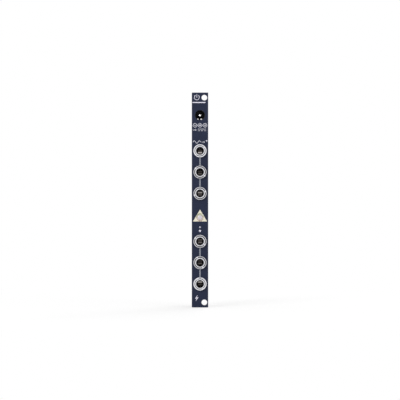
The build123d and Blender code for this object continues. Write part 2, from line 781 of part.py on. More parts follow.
resistor_width, resistor_height, resistor_length = chip_resistor_size
capacitor_width, capacitor_height, capacitor_length = chip_capacitor_size
resistor_places = [(column_x, z) for z in spread(*link_spans[1], [resistor_length] * chip_resistor_count)]
capacitor_places = [(column_x, z) for z in
                    ((z_choke_1 + z_chip) / 2, (z_choke_2 + z_chip) / 2)]
save(make_chips(chip_resistor_size, resistor_places), "chip_resistors")
save(make_chips(chip_capacitor_size, capacitor_places), "chip_capacitors")
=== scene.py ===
# %% [markdown]
# A slim power module for a modular synthesizer, dressed for its portrait.
#
# The construction is already done: every board, socket and screw comes in as a solid at its real size.
# This lesson gives those solids their surfaces, and remakes the ones whose charm is in fine detail,
# such as the knurled nuts and the threads they turn on. Sizes are in millimetres, as a maker would
# say them, and one constant turns them into Blender's metres.

# %% Load the construction
import json
import math

import bmesh
import bpy
from mathutils import Matrix, Vector


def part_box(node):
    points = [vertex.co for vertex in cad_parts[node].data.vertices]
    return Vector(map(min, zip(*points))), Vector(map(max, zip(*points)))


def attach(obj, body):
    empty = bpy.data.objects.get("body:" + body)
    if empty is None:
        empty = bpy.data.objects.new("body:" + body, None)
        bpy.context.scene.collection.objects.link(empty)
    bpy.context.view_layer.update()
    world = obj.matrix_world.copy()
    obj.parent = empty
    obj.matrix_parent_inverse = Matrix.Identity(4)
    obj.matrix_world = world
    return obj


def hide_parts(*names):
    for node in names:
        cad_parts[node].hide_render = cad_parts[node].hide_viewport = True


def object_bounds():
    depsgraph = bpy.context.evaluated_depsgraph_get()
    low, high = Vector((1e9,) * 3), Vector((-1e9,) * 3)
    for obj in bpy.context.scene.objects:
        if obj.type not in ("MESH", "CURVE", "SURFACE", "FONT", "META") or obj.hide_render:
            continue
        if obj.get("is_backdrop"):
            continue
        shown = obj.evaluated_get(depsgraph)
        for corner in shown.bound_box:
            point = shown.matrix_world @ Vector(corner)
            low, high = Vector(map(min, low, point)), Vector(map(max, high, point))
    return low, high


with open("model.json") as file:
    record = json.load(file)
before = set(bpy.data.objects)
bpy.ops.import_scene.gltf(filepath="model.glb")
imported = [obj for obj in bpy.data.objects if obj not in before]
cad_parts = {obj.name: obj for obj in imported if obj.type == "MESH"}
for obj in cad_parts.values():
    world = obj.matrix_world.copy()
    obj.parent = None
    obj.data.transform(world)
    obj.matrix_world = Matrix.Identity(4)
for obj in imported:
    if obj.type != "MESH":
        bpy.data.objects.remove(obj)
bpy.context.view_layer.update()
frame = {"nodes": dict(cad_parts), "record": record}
nodes = frame["nodes"]
MM = 0.001

# %% [markdown]
# Everything that follows is placed from the construction, never from loose numbers. The box around a
# solid gives its middle and its faces, and the record's mounts give the radius of a bore. The six
# sockets count from the top, and each group of three is linked.

# %% Places on the panel
JACKS = range(1, 7)
# Places in the list of sockets, which starts with the topmost
GROUPS = ((0, 1, 2), (3, 4, 5))


def corners(node):
    """Lowest and highest corner of a solid, in millimetres."""
    low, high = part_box(node)
    return low / MM, high / MM


def middle(node):
    """Middle of a solid, in millimetres."""
    low, high = corners(node)
    return (low + high) / 2


panel_low, panel_high = corners("front_panel")
x_mid = middle("front_panel").x
z_top = panel_high.z
y_front = panel_low.y
mounts = {mount["name"]: mount for mount in frame["record"]["mounts"]}
z_inlet = mounts["barrel_inlet"]["pos_m"][2] / MM
inlet_hole_radius = mounts["barrel_inlet"]["dims"]["r_mm"]
z_light = middle("light_lens").z
z_jacks = [middle(f"jack_{number}_nut").z for number in JACKS]
linked = [pair for group in GROUPS for pair in zip(group, group[1:])]
print("panel", round(panel_high.x - panel_low.x, 2), "mm wide, jacks at", [round(z, 1) for z in z_jacks])

# %% [markdown]
# The photograph is taken straight on from about a metre, so near things look hardly larger than far
# ones. Four numbers settle the camera: the photograph's width, the panel's two ends in it, and
# the distance. The lens follows from them.

# %% Camera
PHOTO_PIXELS = 400
PANEL_TOP_PIXEL = 92.53
PANEL_BOTTOM_PIXEL = 307.46
CAMERA_DISTANCE = 1000
SENSOR = 36
CLIP_START = 10


def put(name, data):
    """A new object with this data, in the scene."""
    made = bpy.data.objects.new(name, data)
    bpy.context.scene.collection.objects.link(made)
    return made


mm_per_pixel = (panel_high.z - panel_low.z) / (PANEL_BOTTOM_PIXEL - PANEL_TOP_PIXEL)
camera = put("camera", bpy.data.cameras.new("camera"))
camera.data.sensor_width = SENSOR
camera.data.lens = SENSOR * CAMERA_DISTANCE / (PHOTO_PIXELS * mm_per_pixel)
camera.data.clip_start = CLIP_START * MM
camera.location = Vector((x_mid, y_front - CAMERA_DISTANCE, 0)) * MM
camera.rotation_euler = (math.pi / 2, 0, 0)
bpy.context.scene.camera = camera
bpy.context.scene.view_settings.view_transform = "Standard"
print("lens", round(camera.data.lens, 1), "mm at", round(mm_per_pixel, 4), "mm a pixel")

# %% [markdown]
# A node tree is a formula, and it reads best when it is written as one. Wire stands for one value
# that travels between nodes and takes part in ordinary sums. Maker has the one method that adds any
# node, its settings first and its inputs after.

# %% Wires and their maker


class Wire:
    """One output of a node that can be used in Python sums."""

    def __init__(self, maker, socket):
        self.maker, self.socket = maker, socket

    def math(self, operation, *terms):
        return self.maker.node("ShaderNodeMath", {"operation": operation}, dict(enumerate(terms)))

    def __add__(self, other):
        return self.math("ADD", self, other)

    def __sub__(self, other):
        return self.math("SUBTRACT", self, other)

    def __rsub__(self, other):
        return self.math("SUBTRACT", other, self)

    def __mul__(self, other):
        return self.math("MULTIPLY", self, other)

    __radd__, __rmul__ = __add__, __mul__

    def sine(self):
        return self.math("SINE", self)

    def cosine(self):
        return self.math("COSINE", self)

    def wave(self, pitch):
        """A sine that comes back once in every pitch."""
        return (self * (2 * math.pi / pitch)).sine()

    def size(self):
        return self.math("ABSOLUTE", self)

    def length(self):
        return self.maker.node("ShaderNodeVectorMath", {"operation": "LENGTH"}, {0: self}, 1)


class Maker:
    """A node tree under construction."""

    def __init__(self, tree):
        self.tree = tree

    def node(self, kind, settings=None, inputs=None, output=0):
        made = self.tree.nodes.new(kind)
        for key, value in (settings or {}).items():
            setattr(made, key, value)
        for key, value in (inputs or {}).items():
            if isinstance(value, Wire):
                self.tree.links.new(value.socket, made.inputs[key])
            else:
                made.inputs[key].default_value = value
        return Wire(self, made.outputs[output])

    def join(self, x, y, z):
        return self.node("ShaderNodeCombineXYZ", None, {0: x, 1: y, 2: z})


print("wires ready")

# %% [markdown]
# Finish is such a tree for a material. It knows where a point lies on the object, how far round and
# along a turned part it is, and the few patterns that every surface here is mixed from.

# %% Finishes
# How far a surface has to face front or back to start counting as a board's face, and to count fully
FACE_ON = (0.4, 0.6)


class Finish(Maker):
    """A material under construction, ending in one Principled shader."""

    def __init__(self, name, **steady):
        self.material = bpy.data.materials.new(name)
        self.material.use_nodes = True
        super().__init__(self.material.node_tree)
        self.shader = self.tree.nodes["Principled BSDF"]
        for socket, value in steady.items():
            self.shader.inputs[socket.replace("_", " ")].default_value = value

    def feed(self, socket, wire):
        self.tree.links.new(wire.socket, self.shader.inputs[socket])

    def fed(self, socket):
        """What feeds a socket of the shader so far."""
        return Wire(self, self.shader.inputs[socket].links[0].from_socket)

    def place(self):
        """Where on the object a point is, in millimetres."""
        raw = self.node("ShaderNodeTexCoord", output="Object")
        return self.node("ShaderNodeVectorMath", {"operation": "SCALE"}, {0: raw, "Scale": 1 / MM})

    def wrap(self):
        """Turn and travel of a point on a turned surface: radians about it, millimetres along it."""
        turn, travel, _ = self.split(self.node("ShaderNodeTexCoord", output="UV"))
        return turn, travel

    def split(self, vector):
        made = self.tree.nodes.new("ShaderNodeSeparateXYZ")
        self.tree.links.new(vector.socket, made.inputs[0])
        return [Wire(self, socket) for socket in made.outputs]

    def noise(self, place, scale, detail=2.0):
        """Clouds from 0 to 1; a scale of 1 makes them about a millimetre wide."""
        return self.node("ShaderNodeTexNoise", None, {"Vector": place, "Scale": scale, "Detail": detail})

    def step(self, value, low, high):
        """0 below low, 1 above high and smooth between them."""
        return self.node("ShaderNodeMapRange", {"interpolation_type": "SMOOTHSTEP"},
                         {"Value": value, "From Min": low, "From Max": high})

    def facing(self):
        """1 where a surface faces straight forwards or backwards, 0 on a board's cut edge."""
        depth = self.split(self.node("ShaderNodeTexCoord", output="Normal"))[1]
        return self.step(depth.size(), *FACE_ON)

    def mix(self, share, first, second):
        """From the first colour, input 6, to the second, input 7, as the share goes from 0 to 1."""
        return self.node("ShaderNodeMix", {"data_type": "RGBA"}, {0: share, 6: first, 7: second}, 2)

    def bump(self, height, depth):
        """Raise the surface by the height wire, where 1 stands for that many millimetres."""
        self.feed("Normal", self.node("ShaderNodeBump", None, {"Distance": depth * MM, "Height": height}))


class Sky(Finish):
    """The world, made the same way; its shader is the background."""

    def __init__(self, world):
        Maker.__init__(self, world.node_tree)
        self.shader = self.tree.nodes["Background"]


def shade(red, green, blue):
    """Light from the three numbers that a colour picker shows, with the usual screen curve undone."""
    parts = [v / 255 for v in (red, green, blue)]
    return [v / 12.92 if v <= 0.04045 else ((v + 0.055) / 1.055) ** 2.4 for v in parts] + [1]


print("finishes ready")

# %% [markdown]
# The stage is a white floor and nothing else. To the camera and to mirrors it is plain white, so the
# module stands on the same empty white as in the photograph. Only close to the module does a share of
# its colour come from the lamps, and that share keeps the module's soft shadow.

# %% The floor
FLOOR_SIZE = 6000
FLOOR_TONE = (0.9, 0.9, 0.9, 1)
SHADOW_SHARE = 0.35
SHADOW_START = 60
SHADOW_END = 220


def seen_directly(finish):
    """1 for what the camera, a mirror or clear glass shows, 0 for what only lights other things."""
    eye, mirror, glass = (finish.node("ShaderNodeLightPath", output=f"Is {ray} Ray")
                          for ray in ("Camera", "Glossy", "Transmission"))
    return eye.math("MAXIMUM", eye.math("MAXIMUM", eye, mirror), glass)


floor_finish = Finish("white_floor", Base_Color=FLOOR_TONE, Roughness=0.9)
side, depth, _ = floor_finish.split(floor_finish.place())
distance = floor_finish.join(side, depth, 0).length()
near = 1 - floor_finish.step(distance, SHADOW_START, SHADOW_END)
seen = seen_directly(floor_finish) * (1 - SHADOW_SHARE * near)
glow = floor_finish.node("ShaderNodeEmission")
surface = floor_finish.node("ShaderNodeMixShader", None,
                            {0: seen, 1: Wire(floor_finish, floor_finish.shader.outputs[0]), 2: glow})
floor_finish.tree.links.new(surface.socket, floor_finish.tree.nodes["Material Output"].inputs[0])

reach = FLOOR_SIZE / 2
floor_mesh = bpy.data.meshes.new("floor")
floor_mesh.from_pydata([Vector((x, y, panel_low.z)) * MM for x, y in
                        ((-reach, -reach), (reach, -reach), (reach, reach), (-reach, reach))],
                       [], [(0, 1, 2, 3)])
floor_mesh.materials.append(floor_finish.material)
put("floor", floor_mesh)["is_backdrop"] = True
print("floor laid at", round(panel_low.z, 2), "mm")

# %% [markdown]
# Broad lamps give metal something to mirror. The key lamp stands high at the front left, the fill lamp
# at the front right, and the back lamp lights the boards from behind. The world adds the rest: it is
# white where it is seen in a mirror, and dimmer as a light, so dark plastic stays dark.

# %% Lamps and world
WORLD_LEVEL = 0.6
WHITE = (1, 1, 1, 1)
world = bpy.data.worlds.new("studio")
world.use_nodes = True
bpy.context.scene.world = world
sky = Sky(world)
sky.shader.inputs["Color"].default_value = WHITE
sky.feed("Strength", WORLD_LEVEL + (1 - WORLD_LEVEL) * seen_directly(sky))

# Each lamp: name, place, width, height and power in watts
LAMPS = (
    ("key_lamp", (-450, -550, 300), 400, 500, 3.2),
    ("fill_lamp", (550, -500, 60), 300, 600, 1.2),
    ("back_lamp", (250, 600, 450), 500, 400, 3.0),
)
for name, place, width, height, power in LAMPS:
    lamp = put(name, bpy.data.lights.new(name, "AREA"))
    lamp.data.shape = "RECTANGLE"
    lamp.data.size, lamp.data.size_y, lamp.data.energy = width * MM, height * MM, power
    lamp.location = Vector(place) * MM
    lamp.rotation_euler = (-Vector(place)).to_track_quat("-Z", "Y").to_euler()
print(len(LAMPS), "lamps lit")

# %% [markdown]
# Bent sheet and printed lines pose the same question: where do the two sides of a line run? They keep
# half its width away from the path, and at a bend they meet on the mitre.

# %% The sides of a line


def flanks(path, width):
    """The two sides of a line of even width along a path of points, mitred at its bends."""
    points = [Vector(point) for point in path]
    runs = [(b - a).normalized() for a, b in zip(points, points[1:])]
    left, right = [], []
    for i, point in enumerate(points):
        before, after = runs[max(i - 1, 0)], runs[min(i, len(runs) - 1)]
        across = Vector((-before.y - after.y, before.x + after.x)).normalized()
        across *= width / 2 / across.dot(Vector((-before.y, before.x)))
        left.append(point + across)
        right.append(point - across)
    return left, right


print("sides of a line ready")

# %% [markdown]
# A Form gathers boxes, turned shapes and bent strips into one mesh. A turned shape also gets a map,
# with the turn about it on one axis and the travel along its profile on the other, so that a finish
# can follow the tool that cut it.

# %% Form
TURN_STEPS = 96


class Form:
    """A shape under construction, in millimetres."""

    def __init__(self):
        self.mesh = bmesh.new()
        self.map = self.mesh.loops.layers.uv.new("UVMap")

    def add(self, mesh):
        """Take in a mesh, which is used up."""
        self.mesh.from_mesh(mesh)
        bpy.data.meshes.remove(mesh)
        return self

    def box(self, low, high, bevel=0.0):
        low, high = Vector(low), Vector(high)
        made = bmesh.ops.create_cube(self.mesh, size=1)["verts"]
        for corner in made:
            corner.co = (low + high) / 2 + corner.co * (high - low)
        if bevel:
            edges = list({edge for corner in made for edge in corner.link_edges})
            bmesh.ops.bevel(self.mesh, geom=edges, offset=bevel, offset_type="OFFSET", segments=2,
                            profile=0.5, affect="EDGES")

    def turn(self, x, z, profile, steps=TURN_STEPS):
        """Turn (depth, radius) pairs about a line from front to back.

        A profile that starts at a radius of 0 ends there too, with a pole at both. Any other is closed.
        """
        rings = []
        for depth, radius in profile:
            count = steps if radius else 1
            rings.append([self.mesh.verts.new((x + radius * math.cos(2 * math.pi * i / steps), depth,
                                               z + radius * math.sin(2 * math.pi * i / steps)))
                          for i in range(count)])
        if profile[0][1]:
            rings.append(rings[0])
            profile = [*profile, profile[0]]
        travel = 0.0
        for ring, onward, start, end in zip(rings, rings[1:], profile, profile[1:]):
            further = travel + math.dist(start, end)
            for i in range(steps):
                loop = [(ring[i % len(ring)], i, travel), (ring[(i + 1) % len(ring)], i + 1, travel),
                        (onward[(i + 1) % len(onward)], i + 1, further),
                        (onward[i % len(onward)], i, further)]
                if len(ring) == 1:
                    del loop[1]
                if len(onward) == 1:
                    del loop[-1]
                face = self.mesh.faces.new([corner for corner, _, _ in loop])
                for part, (_, count, along) in zip(face.loops, loop):
                    part[self.map].uv = (2 * math.pi * count / steps, along)
            travel = further

    def strip(self, path, thickness, width, x):
        """Bend a strip along (depth, height) points; the path is the middle of its thickness."""
        left, right = flanks(path, thickness)
        outline = left + right[::-1]
        sides = [[self.mesh.verts.new((x + side * width / 2, depth, height)) for depth, height in outline]
                 for side in (-1, 1)]
        count = len(outline)
        for i in range(count):
            j = (i + 1) % count
            self.mesh.faces.new((sides[0][i], sides[0][j], sides[1][j], sides[1][i]))
        for side in sides:
            for i in range(len(path) - 1):
                self.mesh.faces.new((side[i], side[i + 1], side[count - 2 - i], side[count - 1 - i]))

    def remap(self, first, second):
        """Give the whole surface one and the same place on the map."""
        for corner in (loop for face in self.mesh.faces for loop in face.loops):
            corner[self.map].uv = (first, second)
        return self

    def settle(self, name):
        """The shape as a mesh whose faces point outwards; the form is used up."""
        bmesh.ops.recalc_face_normals(self.mesh, faces=self.mesh.faces)
        mesh = bpy.data.meshes.new(name)
        self.mesh.to_mesh(mesh)
        self.mesh.free()
        return mesh


print("form ready")

# %% [markdown]
# A cutout is a plate sawn along outlines, as a board house routes a panel. Carve cuts one form out of
# another, as a saw does with a nut.

# %% Cutout and carve
JOIN_DISTANCE = 0.0001


def cutout(outlines, near, far):
    """A plate between two depths, sawn along outlines of (x, z) points; inner outlines are holes."""
    curve = bpy.data.curves.new("outline", "CURVE")
    curve.dimensions = "2D"
    curve.fill_mode = "BOTH"
    curve.extrude = (far - near) / 2
    for outline in outlines:
        spline = curve.splines.new("POLY")
        spline.points.add(len(outline) - 1)
        spline.use_cyclic_u = True
        for point, (x, z) in zip(spline.points, outline):
            point.co = (x, z, 0, 1)
    holder = bpy.data.objects.new("outline", curve)
    mesh = bpy.data.meshes.new_from_object(holder)
    bpy.data.objects.remove(holder)
    bpy.data.curves.remove(curve)
    upright = Matrix(((1, 0, 0, 0), (0, 0, 1, (near + far) / 2), (0, 1, 0, 0), (0, 0, 0, 1)))
    mesh.transform(upright)
    welded_plate = bmesh.new()
    welded_plate.from_mesh(mesh)
    bmesh.ops.remove_doubles(welded_plate, verts=welded_plate.verts, dist=JOIN_DISTANCE)
    welded_plate.to_mesh(mesh)
    welded_plate.free()
    return mesh


def applied(holder, modifier):
    """The mesh that a modifier makes of an object, which is used up."""
    mesh = bpy.data.meshes.new_from_object(holder.evaluated_get(bpy.context.evaluated_depsgraph_get()))
    holder.modifiers.remove(modifier)
    bpy.data.objects.remove(holder)
    return mesh


def carve(form, cutter):
    """The first form with the second cut away, as a mesh."""
    whole, tool = [put("carving", shape.settle("carving")) for shape in (form, cutter)]
    cut = whole.modifiers.new("cut", "BOOLEAN")
    cut.object, cut.operation, cut.solver = tool, "DIFFERENCE", "EXACT"
    mesh = applied(whole, cut)
    bpy.data.objects.remove(tool)
    return mesh


print("cutout and carve ready")

# %% [markdown]
# Dress turns a form or a mesh into a finished piece. The piece rides on the part of the construction
# that carries it, and stands for the solids whose place it takes.

# %% Dress
CREASE = 35


def paint_nodes(finish, *names):
    """Give solids of the construction their finish."""
    for name in names:
        for holder in nodes[name].material_slots:
            holder.material = finish.material


def dress(shape, name, finish, stands_for=(), body="chassis"):
    """Make a form or a mesh into a finished piece that rides on a body."""
    mesh = shape.settle(name) if isinstance(shape, Form) else shape
    mesh.transform(Matrix.Scale(MM, 4))
    mesh.materials.clear()
    mesh.materials.append(finish.material)
    mesh.shade_smooth()
    mesh.set_sharp_from_angle(angle=math.radians(CREASE))
    piece = put(name, mesh)
    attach(piece, body)
    if stands_for:
        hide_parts(*stands_for)
        paint_nodes(finish, *stands_for)


print("dress ready")

# %% [markdown]
# Geometry Nodes make what repeats: the ridges of a knurl, the turns of a thread, the solder joints.
# A Recipe is such a tree under construction, from the same Maker as a finish. Its sizes are named
# inputs, it stamps one small shape on every place that it is given, and it ends by making the copies
# real and giving them their finish.

# %% Recipes for what repeats


class Recipe(Maker):
    """A Geometry Nodes tree that stamps a shape on places, with its sizes in millimetres."""

    def __init__(self, name):
        super().__init__(bpy.data.node_groups.new(name, "GeometryNodeTree"))
        self.tree.interface.new_socket("Places", in_out="INPUT", socket_type="NodeSocketGeometry")
        self.tree.interface.new_socket("Result", in_out="OUTPUT", socket_type="NodeSocketGeometry")
        self.start = self.tree.nodes.new("NodeGroupInput")
        self.material = self.size("Finish", kind="NodeSocketMaterial")

    def size(self, name, value=None, kind="NodeSocketFloat"):
        """A named input of the tree."""
        made = self.tree.interface.new_socket(name, in_out="INPUT", socket_type=kind)
        if value is not None:
            made.default_value = value
        return Wire(self, self.start.outputs[name])

    def cone(self, sides, bottom, top, depth):
        return self.node("GeometryNodeMeshCone", None, {
            "Vertices": sides, "Radius Bottom": bottom, "Radius Top": top, "Depth": depth})

    def lay(self, geometry, offset=0.0, spin=0.0):
        """Lay a shape that stands upright down to point backwards, shifted back by the offset."""
        upright = self.node("GeometryNodeTransform", None, {"Geometry": geometry, "Rotation": (0, 0, spin)})
        return self.node("GeometryNodeTransform", None, {
            "Geometry": upright, "Translation": self.join(0, offset, 0), "Rotation": (-math.pi / 2, 0, 0)})

    def stamp(self, *shapes):
        """Join the shapes, put them on every place and finish the tree."""
        joined = self.tree.nodes.new("GeometryNodeJoinGeometry")
        for shape in shapes:
            self.tree.links.new(shape.socket, joined.inputs[0])
        turn, stretch = (self.node("GeometryNodeInputNamedAttribute", {"data_type": "FLOAT_VECTOR"},
                                   {"Name": name}) for name in ("turn", "stretch"))
        stamped = self.node("GeometryNodeInstanceOnPoints", None, {
            "Points": Wire(self, self.start.outputs["Places"]), "Instance": Wire(self, joined.outputs[0]),
            "Rotation": turn, "Scale": stretch})
        real = self.node("GeometryNodeRealizeInstances", None, {"Geometry": stamped})
        done = self.node("GeometryNodeSetMaterial", None, {"Geometry": real, "Material": self.material})
        self.tree.links.new(done.socket, self.tree.nodes.new("NodeGroupOutput").inputs[0])

    def grow(self, places, finish, **sizes):
        """Run the tree on (place, turn, stretch) rows and return what it makes as a plain mesh."""
        points, turns, stretches = zip(*places)
        mesh = bpy.data.meshes.new("places")
        mesh.from_pydata(points, [], [])
        for name, rows in (("turn", turns), ("stretch", stretches)):
            mesh.attributes.new(name, "FLOAT_VECTOR", "POINT").data.foreach_set(
                "vector", [value for row in rows for value in row])
        holder = put("places", mesh)
        growth = holder.modifiers.new("growth", "NODES")
        growth.node_group = self.tree
        keys = {item.name: item.identifier for item in self.tree.interface.items_tree
                if item.in_out == "INPUT"}
        growth[keys["Finish"]] = finish.material
        for name, value in sizes.items():
            growth[keys[name.replace("_", " ")]] = value
        return applied(holder, growth)


STRAIGHT = (0, 0, 0)
AS_IS = (1, 1, 1)
print("recipes ready")

# %% [markdown]
# The panel is an ordinary circuit board: glass cloth in pale resin, under a skin of dark blue lacquer.
# The lacquer is satin, a little uneven where it pooled, and it has the faint orange peel of a sprayed
# coat. Where it is left away, the bare laminate shows its weave.

# %% Finishes of the panel
CLOTH_PITCH = 0.45
# The panel's cut edges show glass fibres, darkened with painted shade so that the walls of its holes look
# shaded
FIBRE_AND_SHADE_TONES = ((150, 140, 104), (104, 96, 70))


def lacquer(name, deep, light):
    """Solder-mask lacquer: clouds of two close shades under a satin orange peel."""
    finish = Finish(name, Specular_IOR_Level=0.2)
    place = finish.place()
    clouds = finish.noise(place, scale=0.3, detail=4)
    peel = finish.noise(place, scale=5)
    finish.feed("Base Color", finish.mix(clouds, shade(*deep), shade(*light)))
    finish.feed("Roughness", 0.45 + 0.14 * peel)
    finish.bump(peel, depth=0.012)
    return finish


def laminate(name, pale, warm):
    """Bare glass laminate: warp and weft that cross, in resin that yellows in patches."""
    finish = Finish(name, Coat_Weight=0.2)
    place = finish.place()
    x, _, z = finish.split(place)
    weave = 0.5 + 0.5 * x.wave(CLOTH_PITCH) * z.wave(CLOTH_PITCH)
    patches = finish.noise(place, scale=0.5, detail=3)
    cloth = finish.mix(0.35 * weave + 0.65 * patches, shade(*pale), shade(*warm))
    # Cut edges, the holes' walls among them: fibre tones darkened by painted shade
    fibres = finish.mix(finish.noise(place, scale=4, detail=3), *[shade(*tone) for tone in FIBRE_AND_SHADE_TONES])
    finish.feed("Base Color", finish.mix(finish.facing(), fibres, cloth))
    finish.feed("Roughness", 0.45 + 0.15 * weave)
    finish.bump(weave, depth=0.01)
    return finish


def ink(name, tone):
    """Printed ink: matt, slightly grainy, thinner here and there."""
    finish = Finish(name)
    place = finish.place()
    grain = finish.noise(place, scale=12, detail=3)
    thin = finish.noise(place, scale=1.3, detail=3)
    full = shade(*tone)
    thinned = [0.8 * part for part in full[:3]] + [1]
    finish.feed("Base Color", finish.mix(0.7 * thin, full, thinned))
    finish.feed("Roughness", 0.6 + 0.2 * grain)
    finish.bump(grain, depth=0.006)
    return finish


blue_lacquer = lacquer("blue_lacquer", deep=(18, 25, 47), light=(29, 37, 60))
bare_laminate = laminate("bare_laminate", pale=(217, 209, 194), warm=(204, 202, 176))
white_ink = ink("white_ink", (212, 210, 222))
pale_ink = ink("pale_ink", (182, 182, 190))
grey_ink = ink("grey_ink", (134, 138, 146))
print("panel finishes ready")

# %% [markdown]
# A board is thin skins around a core, so the panel is made that way: a laminate core, and a lacquer
# skin on each face whose openings are real. The triangular window is an opening in both skins, and
# the indicator sits in a hole that just fits inside the triangle. The window's apex and base are
# measured down from the panel's top edge.

# %% The panel: core, skins and window
SKIN = 0.03
SKIN_OVERLAP = 0.05
CORNER_RADIUS = 0.3
CORNER_STEPS = 6
CIRCLE_STEPS = 72
RAIL_HOLE_RADIUS = mounts["rail_holes"]["dims"]["hole_r_mm"]
RAIL_HOLE_REACH = mounts["rail_holes"]["dims"]["spacing_y_mm"] / 2
JACK_HOLE_RADIUS = 3.1
LIGHT_HOLE_RADIUS = 2.5
WINDOW_APEX = 69.9
WINDOW_BASE = 77.1
WINDOW_HALF_WIDTH = 4.25


def circle(x, z, radius):
    return [(x + radius * math.cos(2 * math.pi * i / CIRCLE_STEPS),
             z + radius * math.sin(2 * math.pi * i / CIRCLE_STEPS)) for i in range(CIRCLE_STEPS)]


def rounded(x, z, width, height, radius, steps=CORNER_STEPS):
    """Outline of a rectangle with round corners."""
    points = []
    for quarter, (right, up) in enumerate(((1, 1), (-1, 1), (-1, -1), (1, -1))):
        for i in range(steps + 1):
            angle = math.pi / 2 * (quarter + i / steps)
            points.append((x + right * (width / 2 - radius) + radius * math.cos(angle),
                           z + up * (height / 2 - radius) + radius * math.sin(angle)))
    return points


def panel_holes(extra=0.0):
    """The rail holes, the sockets' holes and the inlet's hole, all wider by the extra.

    The upright axis of the frame passes through the middle of both rail holes.
    """
    rail_holes = [circle(0, side * RAIL_HOLE_REACH, RAIL_HOLE_RADIUS + extra) for side in (-1, 1)]
    jack_holes = [circle(x_mid, z, JACK_HOLE_RADIUS + extra) for z in z_jacks]
    return [*rail_holes, *jack_holes, circle(x_mid, z_inlet, inlet_hole_radius + extra)]


light_hole = circle(x_mid, z_light, LIGHT_HOLE_RADIUS)
panel_edge = rounded(x_mid, 0, panel_high.x - panel_low.x, panel_high.z - panel_low.z, CORNER_RADIUS)
window = [(x_mid, z_top - WINDOW_APEX), (x_mid - WINDOW_HALF_WIDTH, z_top - WINDOW_BASE),
          (x_mid + WINDOW_HALF_WIDTH, z_top - WINDOW_BASE)]

core = cutout([panel_edge, *panel_holes(SKIN_OVERLAP), light_hole], y_front + SKIN, panel_high.y - SKIN)
dress(Form().add(core), "panel_core", bare_laminate, ["front_panel"])
for name, near in (("panel_front_lacquer", y_front), ("panel_rear_lacquer", panel_high.y - SKIN)):
    skin = cutout([panel_edge, *panel_holes(), window], near, near + SKIN)
    dress(Form().add(skin), name, blue_lacquer)
print("panel of 3 layers,", len(panel_holes()) + 1, "holes")

# %% [markdown]
# The print on the panel is a coat of ink with a thickness of its own. Every mark is a plate as thin as
# that coat, sawn along a few outlines. These functions give the outlines of lines, arcs, rings, bars
# and crosses.

# %% Outlines of the marks
LINE = 0.32
ARC_STEPS = 32
BAR_STEPS = 3


def band(path, width):
    """Outline of a line of even width along a path of (x, z) points."""
    left, right = flanks(path, width)
    return [tuple(point) for point in left + right[::-1]]


def arc(x, z, radius, start, end):
    """Points along an arc, with its angles in degrees from the right, turning left."""
    angles = [math.radians(start + (end - start) * i / ARC_STEPS) for i in range(ARC_STEPS + 1)]
    return [(x + radius * math.cos(angle), z + radius * math.sin(angle)) for angle in angles]


def ring(x, z, radius, width=LINE):
    return [circle(x, z, radius + width / 2), circle(x, z, radius - width / 2)]


def bar(x, z, width, height):
    """A bar whose corners are rounded by a third of its shorter side."""
    return [rounded(x, z, width, height, min(width, height) / 3, BAR_STEPS)]


def cross(x, z, reach, half_width):
    """Outline of an upright cross."""
    corner = [(half_width, half_width), (half_width, reach), (-half_width, reach)]
    points = []
    for quarter in range(4):
        cosine, sine = round(math.cos(quarter * math.pi / 2)), round(math.sin(quarter * math.pi / 2))
        points += [(x + a * cosine - b * sine, z + a * sine + b * cosine) for a, b in corner]
    return points


print("outlines ready")

# %% [markdown]
# A sign is a list of marks, and a mark is a list of outlines. The module's signs are a dot, a rule, the
# power sign, the polarity of the inlet, direct current, an arrow, a wave, a star and a flash.

# %% Signs
WAVE_STEPS = 40


def dot_sign(x, z, radius):
    return [[circle(x, z, radius)]]


def rule_sign(x, z, width, height):
    return [bar(x, z, width, height)]


def power_sign(x, z, radius, gap=35, rise_share=0.55, length_share=1.3):
    """A stroke through a ring that is open at the top, by the gap in degrees to each side."""
    open_ring = band(arc(x, z, radius, 90 + gap, 450 - gap), LINE)
    return [[open_ring], bar(x, z + radius * rise_share, LINE, radius * length_share)]


def polarity_sign(x, z, radius, pitch, line=1.1 * LINE, reach_share=0.5):
    """Three linked circles: minus, the plug's middle and plus."""
    reach = reach_share * radius
    marks = [ring(x + step * pitch, z, radius, line) for step in (-1, 0, 1)]
    marks += [bar(x - pitch, z, 2 * reach, line), [cross(x + pitch, z, reach, line / 2)]]
    return marks + [bar(x + step * pitch / 2, z, pitch - 2 * radius, line) for step in (-1, 1)]


def direct_current_sign(x, z, width, rise):
    """A full line over a line of three dashes."""
    dash = width / 4
    dashes = [bar(x + step * 1.5 * dash, z - rise, dash, LINE) for step in (-1, 0, 1)]
    return [bar(x, z + rise, width, LINE), *dashes]


def arrow_sign(x, z, length, height):
    """An arrow to the right."""
    head = height / 2
    neck = x + length / 2 - head
    return [bar(x - head / 2, z, length - head, LINE),
            [[(neck, z + height / 2), (neck, z - height / 2), (x + length / 2, z)]]]


def wave_sign(x, z, width, height, waves=1.5, line=1.15 * LINE):
    path = [(x + width * (i / WAVE_STEPS - 0.5),
             z + height / 2 * math.sin(2 * math.pi * waves * i / WAVE_STEPS)) for i in range(WAVE_STEPS + 1)]
    return [[band(path, line)]]


def star_sign(x, z, radius, points=5, waist_share=0.5):
    spikes = []
    for i in range(2 * points):
        reach = radius if i % 2 == 0 else radius * waist_share
        angle = math.pi / 2 + math.pi * i / points
        spikes.append((x + reach * math.cos(angle), z + reach * math.sin(angle)))
    return [[spikes]]


def flash_sign(x, z, height):
    """A lightning flash, drawn in shares of its height."""
    shares = ((0.16, 0.5), (-0.26, -0.06), (-0.02, -0.06), (-0.16, -0.5), (0.28, 0.1), (0.03, 0.1))
    return [[[(x + height * a, z + height * b) for a, b in shares]]]


print("signs ready")

# %% [markdown]
# The signs stand in rows, measured down from the panel's top edge. The brightest ink prints the signs
# that the photograph shows white, a duller coat the small ones under the inlet and over the first
# socket, and a grey coat the lines that link the sockets of a group.

